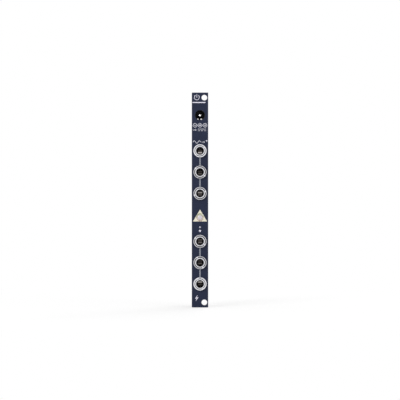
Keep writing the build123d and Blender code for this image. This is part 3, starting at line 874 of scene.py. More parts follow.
# %% Print the marks
INK_THICKNESS = 0.02
COAT_STEP = 0.0002
LINK_WIDTH = 0.75
ROW_DROPS = {"sign": 2.9, "rule": 5.95, "polarity": 19.6, "supply": 22.35, "star": 28.9, "wave": 29.6,
             "dot": 80.5, "spot": 82.7, "flash": 122.9}

# Each sign: what draws it, how far right of the middle it stands, its row and its sizes
WHITE_SIGNS = (
    (power_sign, -1.9, "sign", {"radius": 1.5}),
    (rule_sign, -0.6, "rule", {"width": 7.7, "height": 0.6}),
    (dot_sign, 0.0, "polarity", {"radius": 0.45}),
    (star_sign, 4.0, "star", {"radius": 0.6}),
    (dot_sign, 0.0, "dot", {"radius": 0.45}),
    (star_sign, 0.0, "spot", {"radius": 0.85, "waist_share": 0.6}),
    (flash_sign, -2.0, "flash", {"height": 3.9}),
)
PALE_SIGNS = (
    (polarity_sign, 0.0, "polarity", {"radius": 1.1, "pitch": 3.0}),
    (arrow_sign, -3.2, "supply", {"length": 2.2, "height": 1.4}),
    (direct_current_sign, 1.2, "supply", {"width": 5.0, "rise": 0.5}),
    (wave_sign, -1.9, "wave", {"width": 4.6, "height": 1.5}),
    (arrow_sign, 1.9, "wave", {"length": 2.0, "height": 1.4}),
)


def print_marks(name, marks, finish, face=y_front, outward=-1, rise=INK_THICKNESS):
    """Print marks on a face, each a hair higher than the one before, so that none lie flush."""
    form = Form()
    for count, outlines in enumerate(marks):
        top = face + outward * (rise + count * COAT_STEP)
        form.add(cutout(outlines, *sorted((top, face - outward * INK_THICKNESS / 2))))
    dress(form, name, finish)
    print(len(marks), "marks in", name)


def drawn(signs):
    """The marks of some signs, each sign in its place."""
    return [mark for draw, side, row, sizes in signs
            for mark in draw(x_mid + side, z_top - ROW_DROPS[row], **sizes)]


print_marks("panel_print", drawn(WHITE_SIGNS), white_ink)
print_marks("panel_small_print", drawn(PALE_SIGNS), pale_ink)
reach = JACK_HOLE_RADIUS + LINE
links = [bar(x_mid, (z_jacks[upper] + z_jacks[lower]) / 2, LINK_WIDTH,
             z_jacks[upper] - z_jacks[lower] - 2 * reach) for upper, lower in linked]
print_marks("panel_link_lines", links, grey_ink)

# %% [markdown]
# The sockets' metalwork is brass turned on a lathe and plated with nickel. A turned surface keeps the
# fine rings that the tool left, so its bump follows the map that the turned shapes carry. Sheet and
# wire keep the lines of the rollers instead, and old silver goes dark where the map says so.

# %% Finishes of the metalwork
# How softly a band of painted shade sets in, and the dark tone of painted shade in a mouth
SHADE_FADE = 0.3
PAINTED_SHADE_TONE = (64, 62, 62)
# How far a tool ring wanders through the noise, and how many rings lie in a millimetre
RING_DRIFT = 0.4
RING_CLOSENESS = 9
# How fast the lines of the rollers change along their length
LINE_DRIFT = 0.6


def turned_metal(name, bright, dull, roughness, painted_shades=()):
    """Plated metal with fine tool rings, a breath of wear, and bands of painted shade: rows of start, end
    and tone.
    """
    finish = Finish(name, Metallic=1.0)
    turn, travel = finish.wrap()
    lathe = finish.join(RING_DRIFT * turn.cosine(), RING_DRIFT * turn.sine(), RING_CLOSENESS * travel)
    rings = finish.noise(lathe, scale=1, detail=3)
    wear = finish.noise(finish.place(), scale=1.1, detail=4)
    plating = finish.mix(wear, shade(*bright), shade(*dull))
    # Each band darkens the plating with painted shade between two travels along the profile
    for start, end, tone in painted_shades:
        begun, over = (finish.step(travel, edge - SHADE_FADE, edge) for edge in (start, end))
        plating = finish.mix(begun * (1 - over), plating, shade(*tone))
    finish.feed("Base Color", plating)
    finish.feed("Roughness", roughness + 0.14 * wear + 0.08 * rings)
    finish.bump(rings, depth=0.008)
    return finish


def rolled_metal(name, bright, dull, roughness, lines=6, bloom_roughness=0.2, tarnish=None):
    """Sheet or wire: fine lines along its height, a dull bloom in patches, and tarnish where mapped."""
    finish = Finish(name, Metallic=1.0)
    place = finish.place()
    x, y, z = finish.split(place)
    grain = finish.noise(finish.join(lines * x, LINE_DRIFT * y, LINE_DRIFT * z), scale=2, detail=3)
    bloom = finish.noise(place, scale=1.6, detail=4)
    colour = finish.mix(bloom, shade(*bright), shade(*dull))
    if tarnish:
        colour = finish.mix(finish.wrap()[0], colour, shade(*tarnish))
    finish.feed("Base Color", colour)
    finish.feed("Roughness", roughness + bloom_roughness * bloom + 0.06 * grain)
    finish.bump(grain, depth=0.006)
    return finish


BRIGHT_NICKEL, WORN_NICKEL = (252, 252, 255), (228, 228, 234)
nickel = turned_metal("nickel_plate", BRIGHT_NICKEL, WORN_NICKEL, 0.1)
knurl_nickel = turned_metal("knurl_nickel", (206, 206, 212), (176, 176, 182), 0.2)
# The thread is the sleeve's nickel darkened by painted shade, between its ridges and under the nut
thread_nickel = turned_metal("thread_nickel", (150, 149, 152), (112, 111, 114), 0.3)
bronze = rolled_metal("spring_bronze", (236, 230, 220), (212, 204, 192), 0.16)
tin = rolled_metal("tin_plate", (206, 208, 210), (170, 172, 176), 0.34)
gold = rolled_metal("gold_plate", (236, 200, 120), (214, 172, 92), 0.22)
brass = rolled_metal("turned_brass", (214, 176, 104), (186, 146, 80), 0.3)
# Rough tin darkened by painted shade, for the switch strips seen down the bores
dull_tin = rolled_metal("dull_tin", (150, 150, 152), (120, 120, 124), 0.55)
aluminium = rolled_metal("can_aluminium", (214, 216, 220), (190, 192, 198), 0.3, lines=2)
steel = rolled_metal("zinc_steel", (196, 200, 206), (160, 164, 170), 0.28)
contact_silver = rolled_metal("contact_silver", (214, 208, 204), (172, 166, 162), 0.02,
                              bloom_roughness=0.06, tarnish=(40, 36, 34))
fork_silver = rolled_metal("fork_silver", (244, 242, 240), (218, 214, 210), 0.04, bloom_roughness=0.06)
print("metal finishes ready")

# %% [markdown]
# A ring nut is turned, knurled on its rim and sawn across for a slotted driver. The first and the last
# nut look hardly used, with only a little painted shade. The four between them have a wider mouth, and
# their mouth and rim are much darker with painted shade. The painted shade lies in bands at a travel
# along the profile, so the finish is worked out from the nut's own sizes.

# %% The nuts' sizes and their nickel
NUT_INNER_RADIUS = 3.03
NUT_OUTER_CHAMFER = 0.3
NUT_MOUTH_DEPTH = 1.0
FRESH_MOUTH_WIDTH = 0.3
WORN_MOUTH_WIDTH = 0.45
FRESH_NUTS = (JACKS[0], JACKS[-1])
# A travel past every band of painted shade, for the faces that the saw leaves
UNSHADED_TRAVEL = 100


def disc(node):
    """Place across, height and radius of a solid that is round seen from the front."""
    low, high = corners(node)
    return (low.x + high.x) / 2, (low.z + high.z) / 2, (high.x - low.x) / 2


# The nuts are all alike, but each one's triangles cut its circle a hair differently
nut_radii = [disc(f"jack_{number}_nut")[2] for number in JACKS]
nut_low, nut_high = corners("jack_1_nut")
nut_face, nut_back = nut_low.y, nut_high.y
print("nuts of radius", round(nut_radii[0], 2), "and thickness", round(nut_back - nut_face, 2))


def nut_metal(name, mouth_width, mouth_shade_tone, rim_shade_tone):
    """Nickel with painted shade deep in the mouth and painted shade on the rim."""
    mouth_length = math.hypot(NUT_MOUTH_DEPTH, mouth_width)
    face_width = nut_radii[0] - NUT_OUTER_CHAMFER - NUT_INNER_RADIUS - mouth_width
    face_end = nut_back - nut_face - NUT_MOUTH_DEPTH + mouth_length + face_width
    # Painted shade: dark in the bore and the mouth, and on the rim from the face's edge on
    return turned_metal(name, BRIGHT_NICKEL, WORN_NICKEL, 0.1,
                        [(0, mouth_length + SHADE_FADE, mouth_shade_tone),
                         (face_end + SHADE_FADE / 2, UNSHADED_TRAVEL / 2, rim_shade_tone)])


# Both finishes paint shade into the mouth and onto the rim, the worn one much darker
fresh_nickel = nut_metal("fresh_nut_nickel", FRESH_MOUTH_WIDTH, (206, 204, 204), (226, 226, 232))
worn_shaded_nickel = nut_metal("worn_nut_nickel", WORN_MOUTH_WIDTH, PAINTED_SHADE_TONE, (142, 142, 148))

# %% [markdown]
# The ring is a turned profile with the saw's cut carved out of it. The knurl is a circle of ridges,
# stamped round the rim by a recipe, and a ridge that meets the slot is shorter by the slot's depth.

# %% The ring nuts
SLOT_WIDTH = 1.0
SLOT_DEPTH = 0.7
SLOT_ANGLES = (40, 140, 20, 145, 120, 120)
SAW_OVERRUN = 1.0
KNURL_RIDGES = 72
KNURL_HEIGHT = 0.12

knurl = Recipe("knurl")
ridge_radius = knurl.size("Ridge Radius", 0.1)
ridge_length = knurl.size("Ridge Length", 1.0)
knurl.stamp(knurl.lay(knurl.node("GeometryNodeMeshCylinder", None, {
    "Vertices": 4, "Radius": ridge_radius, "Depth": ridge_length})))


def nut_ring(z, radius, mouth_width):
    """A nut before it is sawn: its bore, its mouth, its face and the rim that carries the knurl."""
    body_radius = radius - KNURL_HEIGHT
    nut = Form()
    nut.turn(x_mid, z, [
        (nut_back, NUT_INNER_RADIUS), (nut_face + NUT_MOUTH_DEPTH, NUT_INNER_RADIUS),
        (nut_face, NUT_INNER_RADIUS + mouth_width), (nut_face, radius - NUT_OUTER_CHAMFER),
        (nut_face + NUT_OUTER_CHAMFER - KNURL_HEIGHT, body_radius),
        (nut_back - KNURL_HEIGHT, body_radius), (nut_back, radius - 2 * KNURL_HEIGHT)])
    return nut


def saw_cut(z, radius, slot_angle):
    """What the saw takes out of a nut's face, at an angle in degrees."""
    saw = Form()
    saw.box((-2 * radius, nut_face - SAW_OVERRUN, -SLOT_WIDTH / 2),
            (2 * radius, nut_face + SLOT_DEPTH, SLOT_WIDTH / 2))
    turned = Matrix.Rotation(-math.radians(slot_angle), 3, "Y")
    bmesh.ops.rotate(saw.mesh, verts=saw.mesh.verts, matrix=turned)
    bmesh.ops.translate(saw.mesh, verts=saw.mesh.verts, vec=(x_mid, 0, z))
    return saw.remap(0, UNSHADED_TRAVEL)


def rim_ridges(z, radius, slot_angle):
    """Where the ridges of a knurl stand, each with its turn and its length."""
    body_radius = radius - KNURL_HEIGHT
    top, bottom = nut_face + NUT_OUTER_CHAMFER, nut_back - KNURL_HEIGHT
    rows = []
    for i in range(KNURL_RIDGES):
        angle = 2 * math.pi * i / KNURL_RIDGES
        off_slot = abs(math.sin(angle - math.radians(slot_angle))) * radius
        start = top if off_slot > SLOT_WIDTH / 2 + KNURL_HEIGHT else nut_face + SLOT_DEPTH
        x, height = x_mid + body_radius * math.cos(angle), z + body_radius * math.sin(angle)
        rows.append(((x, (start + bottom) / 2, height), (0, -angle, 0), (1, bottom - start, 1)))
    return rows


ridges = []
for number, z, radius, slot_angle in zip(JACKS, z_jacks, nut_radii, SLOT_ANGLES):
    fresh = number in FRESH_NUTS
    whole = nut_ring(z, radius, FRESH_MOUTH_WIDTH if fresh else WORN_MOUTH_WIDTH)
    dress(carve(whole, saw_cut(z, radius, slot_angle)), f"jack_{number}_ring_nut",
          fresh_nickel if fresh else worn_shaded_nickel, [f"jack_{number}_nut"])
    ridges += rim_ridges(z, radius, slot_angle)
knurls = knurl.grow(ridges, knurl_nickel, Ridge_Radius=KNURL_HEIGHT)
dress(knurls, "nut_knurls", knurl_nickel)
print(len(z_jacks), "nuts with", len(ridges), "ridges")

# %% [markdown]
# The bushing is the part that the nut turns on: a threaded sleeve with a countersunk bore, a square
# flange behind the panel, and an earth lug that steps back to the board. The thread is one ridge wound
# round the sleeve, which a recipe makes from a spiral and a four-sided section.

# %% The bushings and their threads
THREAD_RADIUS = 3.0
THREAD_DEPTH = 0.16
THREAD_PITCH = 0.5
SPIRAL_STEPS = 48
SLEEVE_RADIUS = THREAD_RADIUS - THREAD_DEPTH
BORE_RADIUS = mounts["jack_1_socket"]["dims"]["r_mm"]
MOUTH_WIDTH = 0.52
MOUTH_EDGE = 0.22
MOUTH_DEPTH = 0.8
EDGE_CHAMFER = 0.1
FLANGE_WIDTH = 8.0
FLANGE_RISE = 4.5
FLANGE_DROP = 4.0
FLANGE_CORNER = 0.4
FLANGE_THICKNESS = 0.3
LUG_WIDTH = 2.4
LUG_THICKNESS = 0.25
LUG_BEND_DEPTH = 7.2
LUG_STANDOFF = 1.95
LUG_PIN_WIDTH = 1.0

thread = Recipe("thread")
thread_turns = thread.size("Turns", 5.0)
thread_radius = thread.size("Radius", 3.0)
thread_height = thread.size("Height", 2.5)
thread_ridge = thread.size("Ridge", 0.2)
spiral = thread.node("GeometryNodeCurveSpiral", None, {
    "Resolution": SPIRAL_STEPS, "Rotations": thread_turns, "Start Radius": thread_radius,
    "End Radius": thread_radius, "Height": thread_height})
section = thread.node("GeometryNodeCurvePrimitiveCircle", None, {"Resolution": 4, "Radius": thread_ridge})
thread.stamp(thread.lay(thread.node("GeometryNodeCurveToMesh", None, {
    "Curve": spiral, "Profile Curve": section, "Fill Caps": True})))

sleeve_length = -corners("jack_1_bushing")[0].y
bore_length = sleeve_length - MOUTH_DEPTH
mouth_end = bore_length + math.hypot(MOUTH_DEPTH, MOUTH_WIDTH) + MOUTH_EDGE
# Painted shade darkens the countersunk mouth of the bore
sleeve_nickel = turned_metal("sleeve_nickel", (238, 238, 242), (218, 218, 224), 0.12,
                             [(bore_length, mouth_end, PAINTED_SHADE_TONE)])
y_board = corners("socket_board")[0].y
thread_places = []
for number, z in zip(JACKS, z_jacks):
    low, high = corners(f"jack_{number}_bushing")
    bushing = Form()
    bushing.turn(x_mid, z, [
        (0, BORE_RADIUS), (low.y + MOUTH_DEPTH, BORE_RADIUS), (low.y, BORE_RADIUS + MOUTH_WIDTH),
        (low.y, SLEEVE_RADIUS - EDGE_CHAMFER / 2), (low.y + EDGE_CHAMFER, SLEEVE_RADIUS + EDGE_CHAMFER / 2),
        (low.y + 2 * EDGE_CHAMFER, SLEEVE_RADIUS), (0, SLEEVE_RADIUS)])
    flange = rounded(x_mid, z + (FLANGE_RISE - FLANGE_DROP) / 2, FLANGE_WIDTH, FLANGE_RISE + FLANGE_DROP,
                     FLANGE_CORNER)
    bushing.add(cutout([flange, circle(x_mid, z, BORE_RADIUS)], 0, FLANGE_THICKNESS))
    strip_rise = z + FLANGE_RISE + LUG_THICKNESS / 2
    pin_rise = z + FLANGE_RISE + LUG_STANDOFF
    bushing.strip([(0, strip_rise), (LUG_BEND_DEPTH, strip_rise), (LUG_BEND_DEPTH + LUG_STANDOFF, pin_rise),
                   (y_board, pin_rise)], LUG_THICKNESS, LUG_WIDTH, x_mid)
    bushing.strip([(y_board, pin_rise), (high.y, pin_rise)], LUG_THICKNESS, LUG_PIN_WIDTH, x_mid)
    dress(bushing, f"jack_{number}_sleeve", sleeve_nickel, [f"jack_{number}_bushing"])
    thread_places.append(((x_mid, low.y + EDGE_CHAMFER + THREAD_DEPTH, z), STRAIGHT, AS_IS))
thread_length = sleeve_length - EDGE_CHAMFER - 2 * THREAD_DEPTH
threads = thread.grow(thread_places, thread_nickel, Turns=thread_length / THREAD_PITCH,
                      Height=thread_length, Radius=SLEEVE_RADIUS, Ridge=THREAD_DEPTH)
dress(threads, "bushing_threads", thread_nickel)
print("threads of", round(thread_length / THREAD_PITCH, 1), "turns")

# %% [markdown]
# Moulded plastic is never quite black or flat: the steel of the mould leaves a fine grain, and the
# flow leaves soft clouds of gloss. The chips, the ferrite and the ceramics are made the same way,
# with other grains.

# %% Finishes of plastics, chips and ceramics


def moulding(name, dark, pale, roughness, grain_depth=0.01, grain_scale=7):
    """Moulded plastic or resin with the fine grain of its mould."""
    finish = Finish(name, Specular_IOR_Level=0.3)
    place = finish.place()
    grain = finish.noise(place, scale=grain_scale, detail=3)
    flow = finish.noise(place, scale=0.6, detail=4)
    finish.feed("Base Color", finish.mix(0.5 * flow + 0.5 * grain, shade(*dark), shade(*pale)))
    finish.feed("Roughness", roughness + 0.15 * flow)
    finish.bump(grain, grain_depth)
    return finish


black_plastic = moulding("black_moulding", (12, 12, 13), (22, 22, 23), 0.42)
nylon = moulding("white_nylon", (226, 224, 214), (206, 204, 194), 0.4)
case_plastic = moulding("converter_case", (14, 14, 15), (24, 24, 26), 0.5, 0.02, 4)
rubber = moulding("black_rubber", (16, 16, 17), (24, 24, 25), 0.7)
ferrite = moulding("ferrite", (58, 58, 62), (84, 84, 88), 0.6, 0.02, 6)
resin = moulding("chip_resin", (24, 24, 26), (40, 40, 42), 0.6, 0.008, 12)
fuse_polymer = moulding("fuse_polymer", (34, 82, 54), (50, 106, 70), 0.4, 0.01, 5)
resistor_glaze = moulding("resistor_glaze", (20, 20, 22), (34, 34, 36), 0.25, 0.004, 10)
capacitor_ceramic = moulding("capacitor_ceramic", (176, 146, 112), (150, 120, 88), 0.5, 0.006, 9)
print("plastics, resins and ceramics ready")

# %% [markdown]
# Three finishes are drawn for one thing each. The light's lens is milky and lilac in its middle. Its paler
# rim is darker and greener towards the top with painted shade, and gives off a painted glow that stands
# in for light lost in the hole's shade. A board shows lacquer on its faces and glass fibres on its cut
# edges. And a can's sleeve has a stripe of minus signs.

# %% Finishes of the light, the boards and the cans
# Strength of the painted glow on the lens's rim
PAINTED_LENS_GLOW = 0.4
BLACK = (0, 0, 0, 1)
# How far from the lens's middle its rim and its painted glow set in and are full, and its upper part with
# painted shade likewise
LENS_RIM = (1.1, 1.75)
LENS_GLOW = (1.5, 2.4)
LENS_SHADED_TOP = (-0.6, 1.4)
GLOW_LOSS = 0.9
# Where round the can its stripe runs, and where the stripe and its minus signs end, in radians
STRIPE_TURN = math.pi / 2
STRIPE_EDGE = (0.36, 0.39)
MINUS_EDGE = (0.1, 0.13)
MINUS_PITCH = 2.4
# How high the wave along the can has to be for a minus sign to set in and to be full
MINUS_END = (0.1, 0.3)
# How much lighter the sleeve's second shade is, on the scale of a colour picker
SLEEVE_SPREAD = 8


def lens_resin(name):
    """Milky resin, lilac in the middle; its paler rim has painted shade at the top and a painted glow."""
    finish = Finish(name, Coat_Weight=0.3, Coat_Roughness=0.15, Emission_Strength=PAINTED_LENS_GLOW)
    place = finish.place()
    x, _, z = finish.split(place)
    side, rise = x - x_mid, z - z_light
    radius = finish.join(side, rise, 0).length()
    haze = finish.noise(place, scale=1.5, detail=3)
    milk = finish.mix(haze, shade(192, 185, 194), shade(180, 174, 184))
    # The rim's upper part is darker and greener with painted shade, its lower part paler
    shaded_shoulder = finish.mix(finish.step(rise, *LENS_SHADED_TOP), shade(230, 216, 202), shade(204, 206, 178))
    colour = finish.mix(finish.step(radius, *LENS_RIM), milk, shaded_shoulder)
    # Painted glow in the rim's own colour, fading out towards the middle
    dimming = GLOW_LOSS * (1 - finish.step(radius, *LENS_GLOW))
    finish.feed("Base Color", colour)
    finish.feed("Emission Color", finish.mix(dimming, colour, BLACK))
    finish.feed("Roughness", 0.25 + 0.2 * haze)
    finish.bump(haze, depth=0.02)
    return finish


def board_finish(name, deep, light):
    """Lacquer on the two faces of a board, bare laminate on its cut edges."""
    finish = lacquer(name, deep, light)
    fibres = finish.noise(finish.place(), scale=4, detail=3)
    cut_edge = finish.mix(fibres, shade(176, 168, 128), shade(132, 124, 88))
    finish.feed("Base Color", finish.mix(finish.facing(), cut_edge, finish.fed("Base Color")))
    return finish


def striped_sleeve(name, dark, stripe_tone):
    """Shrunk sleeve of a can: glossy, with a pale stripe of minus signs along the negative side."""
    finish = moulding(name, dark, [v + SLEEVE_SPREAD for v in dark], 0.22, 0.003, 3)
    turn, travel = finish.wrap()
    off = (turn - STRIPE_TURN).size()
    stripe = 1 - finish.step(off, *STRIPE_EDGE)
    minus = (1 - finish.step(off, *MINUS_EDGE)) * finish.step(travel.wave(MINUS_PITCH), *MINUS_END)
    plain = finish.fed("Base Color")
    finish.feed("Base Color", finish.mix(stripe * (1 - minus), plain, shade(*stripe_tone)))
    return finish


lens = lens_resin("milky_lens")
can_sleeve = striped_sleeve("can_sleeve", (18, 18, 26), (196, 198, 204))
board_lacquer = board_finish("board_lacquer", deep=(22, 30, 56), light=(32, 42, 70))
track_lacquer = lacquer("track_lacquer", deep=(34, 48, 88), light=(44, 60, 102))
print("lens, sleeve and lacquers ready")

# %% [markdown]
# Behind the panel every shape is already right, but a solid from the drawing board has edges as sharp
# as a knife, and no moulded or cut thing has. So its own mesh is copied and welded, and every sharp edge
# is rounded a little. Light catches there first.

# %% Solids of a node and their softened copies
WELD = 0.001
SOFT_ANGLE = 40


def span(points):
    """Lowest and highest corner of the box round some points."""
    return Vector([min(row) for row in zip(*points)]), Vector([max(row) for row in zip(*points)])


def welded(name):
    """A copy of a node's own shape whose triangles hold together."""
    shape = bmesh.new()
    shape.from_mesh(nodes[name].data)
    bmesh.ops.remove_doubles(shape, verts=shape.verts, dist=WELD * MM)
    return shape


def solids(name):
    """The separate solids of a node from the top down, each as its points in millimetres."""
    shape = welded(name)
    waiting, groups = set(shape.verts), []
    while waiting:
        group = [waiting.pop()]
        for vert in group:
            for edge in vert.link_edges:
                other = edge.other_vert(vert)
                if other in waiting:
                    waiting.remove(other)
                    group.append(other)
        groups.append([vert.co / MM for vert in group])
    shape.free()
    return sorted(groups, key=lambda points: (-round(span(points)[0].z, 1), span(points)[0].x))


def spots(name, past):
    """Where a node's pins come out behind a depth: the (x, z) middle of what lies beyond it."""
    found = []
    for points in solids(name):
        beyond = [point for point in points if point.y - past > WELD]
        if beyond:
            low, high = span(beyond)
            found.append(((low.x + high.x) / 2, (low.z + high.z) / 2))
    return found


def softened(name, width):
    """A form with the node's own shape, its sharp edges rounded by a width."""
    shape = welded(name)
    mesh = bpy.data.meshes.new("softened")
    shape.to_mesh(mesh)
    shape.free()
    holder = put("softened", mesh)
    bevel = holder.modifiers.new("bevel", "BEVEL")
    bevel.width, bevel.segments = width * MM, 2
    bevel.limit_method, bevel.angle_limit = "ANGLE", math.radians(SOFT_ANGLE)
    soft = applied(holder, bevel)
    soft.transform(Matrix.Scale(1 / MM, 4))
    return Form().add(soft)


print(len(solids("bus_header_pins")), "header pins found")

# %% [markdown]
# The socket bodies, the inlet, the converters' cases and the header's shroud all come out of moulds.
# Each gets its rounded edges and the small signs of its mould. On the housings these are ribs that keep
# the walls flat.

# %% Socket and inlet housings
MOULD_EDGE = 0.15
RIB_RISE = 0.12
RIB_WIDTH = 0.7
RIB_SHARES = (0.2, 0.8)
RIB_MARGIN = 1.0
housings = {f"jack_{number}_housing": f"jack_{number}_moulding" for number in JACKS}
housings["inlet_housing"] = "inlet_moulding"
for name, piece in housings.items():
    low, high = corners(name)
    form = softened(name, MOULD_EDGE)
    for x in (low.x, high.x):
        for share in RIB_SHARES:
            z = low.z + share * (high.z - low.z)
            form.box((x - RIB_RISE, low.y + RIB_MARGIN, z - RIB_WIDTH / 2),
                     (x + RIB_RISE, high.y - RIB_MARGIN, z + RIB_WIDTH / 2), RIB_RISE / 2)
    dress(form, piece, black_plastic, [name])
print(len(housings), "housings dressed")

# %% [markdown]
# A converter's case is filled with resin, so a rim runs round the potted face, and a raised dot marks
# the first pin. The header's shroud has a rib along each side. The link sockets, the spacer and the
# standoffs only lose the sharpness of their edges.

# %% Converter cases, header shroud and smaller pieces
CASE_EDGE = 0.4
RIM_RISE = 0.12
RIM_WIDTH = 0.6
DOT_RADIUS = 0.5
DOT_STEPS = 32
for name in ("positive_converter", "negative_converter"):
    low, high = corners(name)
    centre = (low + high) / 2
    inner = [side - 2 * (CASE_EDGE + RIM_WIDTH) for side in (high.x - low.x, high.z - low.z)]
    outer = [side + 2 * RIM_WIDTH for side in inner]
    foot, top = high.y - RIM_RISE / 2, high.y + RIM_RISE
    form = softened(name, CASE_EDGE)
    form.add(cutout([rounded(centre.x, centre.z, *outer, RIM_WIDTH),
                     rounded(centre.x, centre.z, *inner, RIM_WIDTH / 2)], foot, top))
    form.turn(high.x - 4 * DOT_RADIUS, high.z - 4 * DOT_RADIUS, [
        (foot, 0), (foot, DOT_RADIUS), (high.y + RIM_RISE / 2, DOT_RADIUS),
        (top, DOT_RADIUS - RIM_RISE / 2), (top, 0)], DOT_STEPS)
    dress(form, f"{name}_case", case_plastic, [name])

low, high = corners("bus_shroud")
form = softened("bus_shroud", MOULD_EDGE)
for x in (low.x, high.x):
    form.box((x - RIB_RISE, low.y + RIB_MARGIN, low.z + RIB_MARGIN),
             (x + RIB_RISE, low.y + RIB_MARGIN + RIB_WIDTH, high.z - RIB_MARGIN), RIB_RISE / 2)
dress(form, "bus_shroud_moulding", black_plastic, ["bus_shroud"])
for name, piece, finish, slot in (
        ("link_sockets", "link_socket_mouldings", black_plastic, "black_moulding"),
        ("light_spacer", "light_spacer_sleeve", nylon, "nylon"),
        ("standoffs", "hex_standoffs", brass, "standoff_brass")):
    dress(softened(name, MOULD_EDGE), piece, finish, [name])
print("cases, shroud, link sockets, spacer and standoffs dressed")

# %% [markdown]
# Pins come by the dozen. A recipe makes one square pin with two tapered ends, and stamps it wherever
# the construction has a pin. The same way makes the plug-together strips that hold the pins: a strip
# is a row of eight-sided blocks, so that it can be snapped off at any length.

# %% Square pins and their strips
DIAGONAL = math.sqrt(2)
PIN_TIP = 0.6
PIN_TIP_SHARE = 0.35

pin = Recipe("square_pin")
pin_radius = pin.size("Half Diagonal", 0.45)
pin_length = pin.size("Length", 8.0)
pin_tip = pin.size("Tip", PIN_TIP)
tip_radius = pin_radius * PIN_TIP_SHARE
shank = pin_length - 2.0 * pin_tip
parts = ((tip_radius, pin_radius, pin_tip, 0.0), (pin_radius, pin_radius, shank, pin_tip),
         (pin_radius, tip_radius, pin_tip, pin_length - pin_tip))
pin.stamp(*[pin.lay(pin.cone(4, bottom, top, depth), offset, math.pi / 4)
            for bottom, top, depth, offset in parts])
for name, piece in (("bus_header_pins", "bus_pins"), ("link_header_pins", "link_pins")):
    boxes = [span(points) for points in solids(name)]
    width, length = boxes[0][1].x - boxes[0][0].x, boxes[0][1].y - boxes[0][0].y
    places = [(((low.x + high.x) / 2, low.y, (low.z + high.z) / 2), STRAIGHT, AS_IS) for low, high in boxes]
    pins = pin.grow(places, gold, Half_Diagonal=width / DIAGONAL, Length=length)
    dress(pins, piece, gold, [name])
    print(len(places), "pins in", piece)

EIGHTH = math.pi / 8
block = Recipe("pin_strip")
block_radius = block.size("Corner Radius", 1.3)
block_depth = block.size("Depth", 2.5)
block.stamp(block.lay(block.cone(8, block_radius, block_radius, block_depth), 0.0, EIGHTH))
low, high = corners("link_headers")
link_spots = spots("link_header_pins", low.y)
blocks = block.grow([((x, low.y, z), STRAIGHT, AS_IS) for x, z in link_spots], black_plastic,
                    Corner_Radius=(high.x - low.x) / 2 / math.cos(EIGHTH), Depth=high.y - low.y)
dress(blocks, "link_header_strips", black_plastic, ["link_headers"])
print(len(link_spots), "blocks in the strips")

# %% [markdown]
# Every lead that comes through a board ends in a solder joint: a tinned pad, and a small bright cone
# that climbs the lead with a hollow flank. One recipe makes the joint from a disc and two cones, and
# the construction tells where the leads come through.

# %% Solder joints
JOINT_SIDES = 16
FLIPPED = (0, 0, math.pi)
SMALL = (0.75, 0.75, 0.75)

joint = Recipe("solder_joint")
pad_radius = joint.size("Pad Radius", 0.85)
pad_thickness = joint.size("Pad Thickness", 0.05)
foot_radius = joint.size("Foot Radius", 0.72)
neck_radius = joint.size("Neck Radius", 0.42)
peak_radius = joint.size("Peak Radius", 0.3)
half_height = joint.size("Height", 0.9) * 0.5
layers = ((pad_radius, pad_radius, pad_thickness, 0.0), (foot_radius, neck_radius, half_height, 0.0),
          (neck_radius, peak_radius, half_height, half_height))
joint.stamp(*[joint.lay(joint.cone(JOINT_SIDES, bottom, top, depth), offset)
              for bottom, top, depth, offset in layers])

socket_low, socket_high = corners("socket_board")
power_low, power_high = corners("power_board")
# Each row: the node, the face that its leads pass, the face of its joints, their turn and their size
JOINT_ROWS = [(f"jack_{number}_bushing", socket_high, socket_high, STRAIGHT, AS_IS) for number in JACKS] + [
    ("jack_tip_terminals", socket_high, socket_high, STRAIGHT, AS_IS),
    ("jack_switch_contacts", socket_high, socket_high, STRAIGHT, AS_IS),
    ("inlet_terminals", socket_high, socket_high, STRAIGHT, AS_IS),
    ("light_leads", socket_high, socket_high, STRAIGHT, SMALL),
    ("link_socket_tails", socket_low, socket_low, FLIPPED, SMALL),
    ("bus_header_pins", power_low, power_low, FLIPPED, AS_IS),
    ("converter_leads", power_low, power_low, FLIPPED, AS_IS),
    ("capacitor_leads", power_low, power_low, FLIPPED, SMALL),
    ("link_header_pins", power_low, power_high, STRAIGHT, SMALL),
]
places = [((x, face.y, z), turn, scale) for name, passed, face, turn, scale in JOINT_ROWS
          for x, z in spots(name, passed.y)]
dress(joint.grow(places, tin), "solder_joints", tin)
print(len(places), "solder joints")

# %% [markdown]
# A can capacitor is an aluminium cup under a shrunk plastic sleeve, closed by a rubber bung. The cup is
# scored with a cross on top, where it may vent, and the sleeve leaves that top bare. Turned profiles
# give the sleeve with its rolled groove, the bung and the crown, and the cross is carved out.

# %% The cans
CANS = ("input_capacitor", "output_capacitor")
CAN_WALL = 1.0
CAN_SHOULDER = 0.45
CAN_GROOVE_DEPTH = 1.6
CAN_GROOVE_RADIUS = 0.35
BUNG_HEIGHT = 0.5
CROWN_SINK = 0.12
SCORE_WIDTH = 0.28
SCORE_DEPTH = 0.16
SCORE_SHARE = 0.6
SMALL_TURN_STEPS = 48

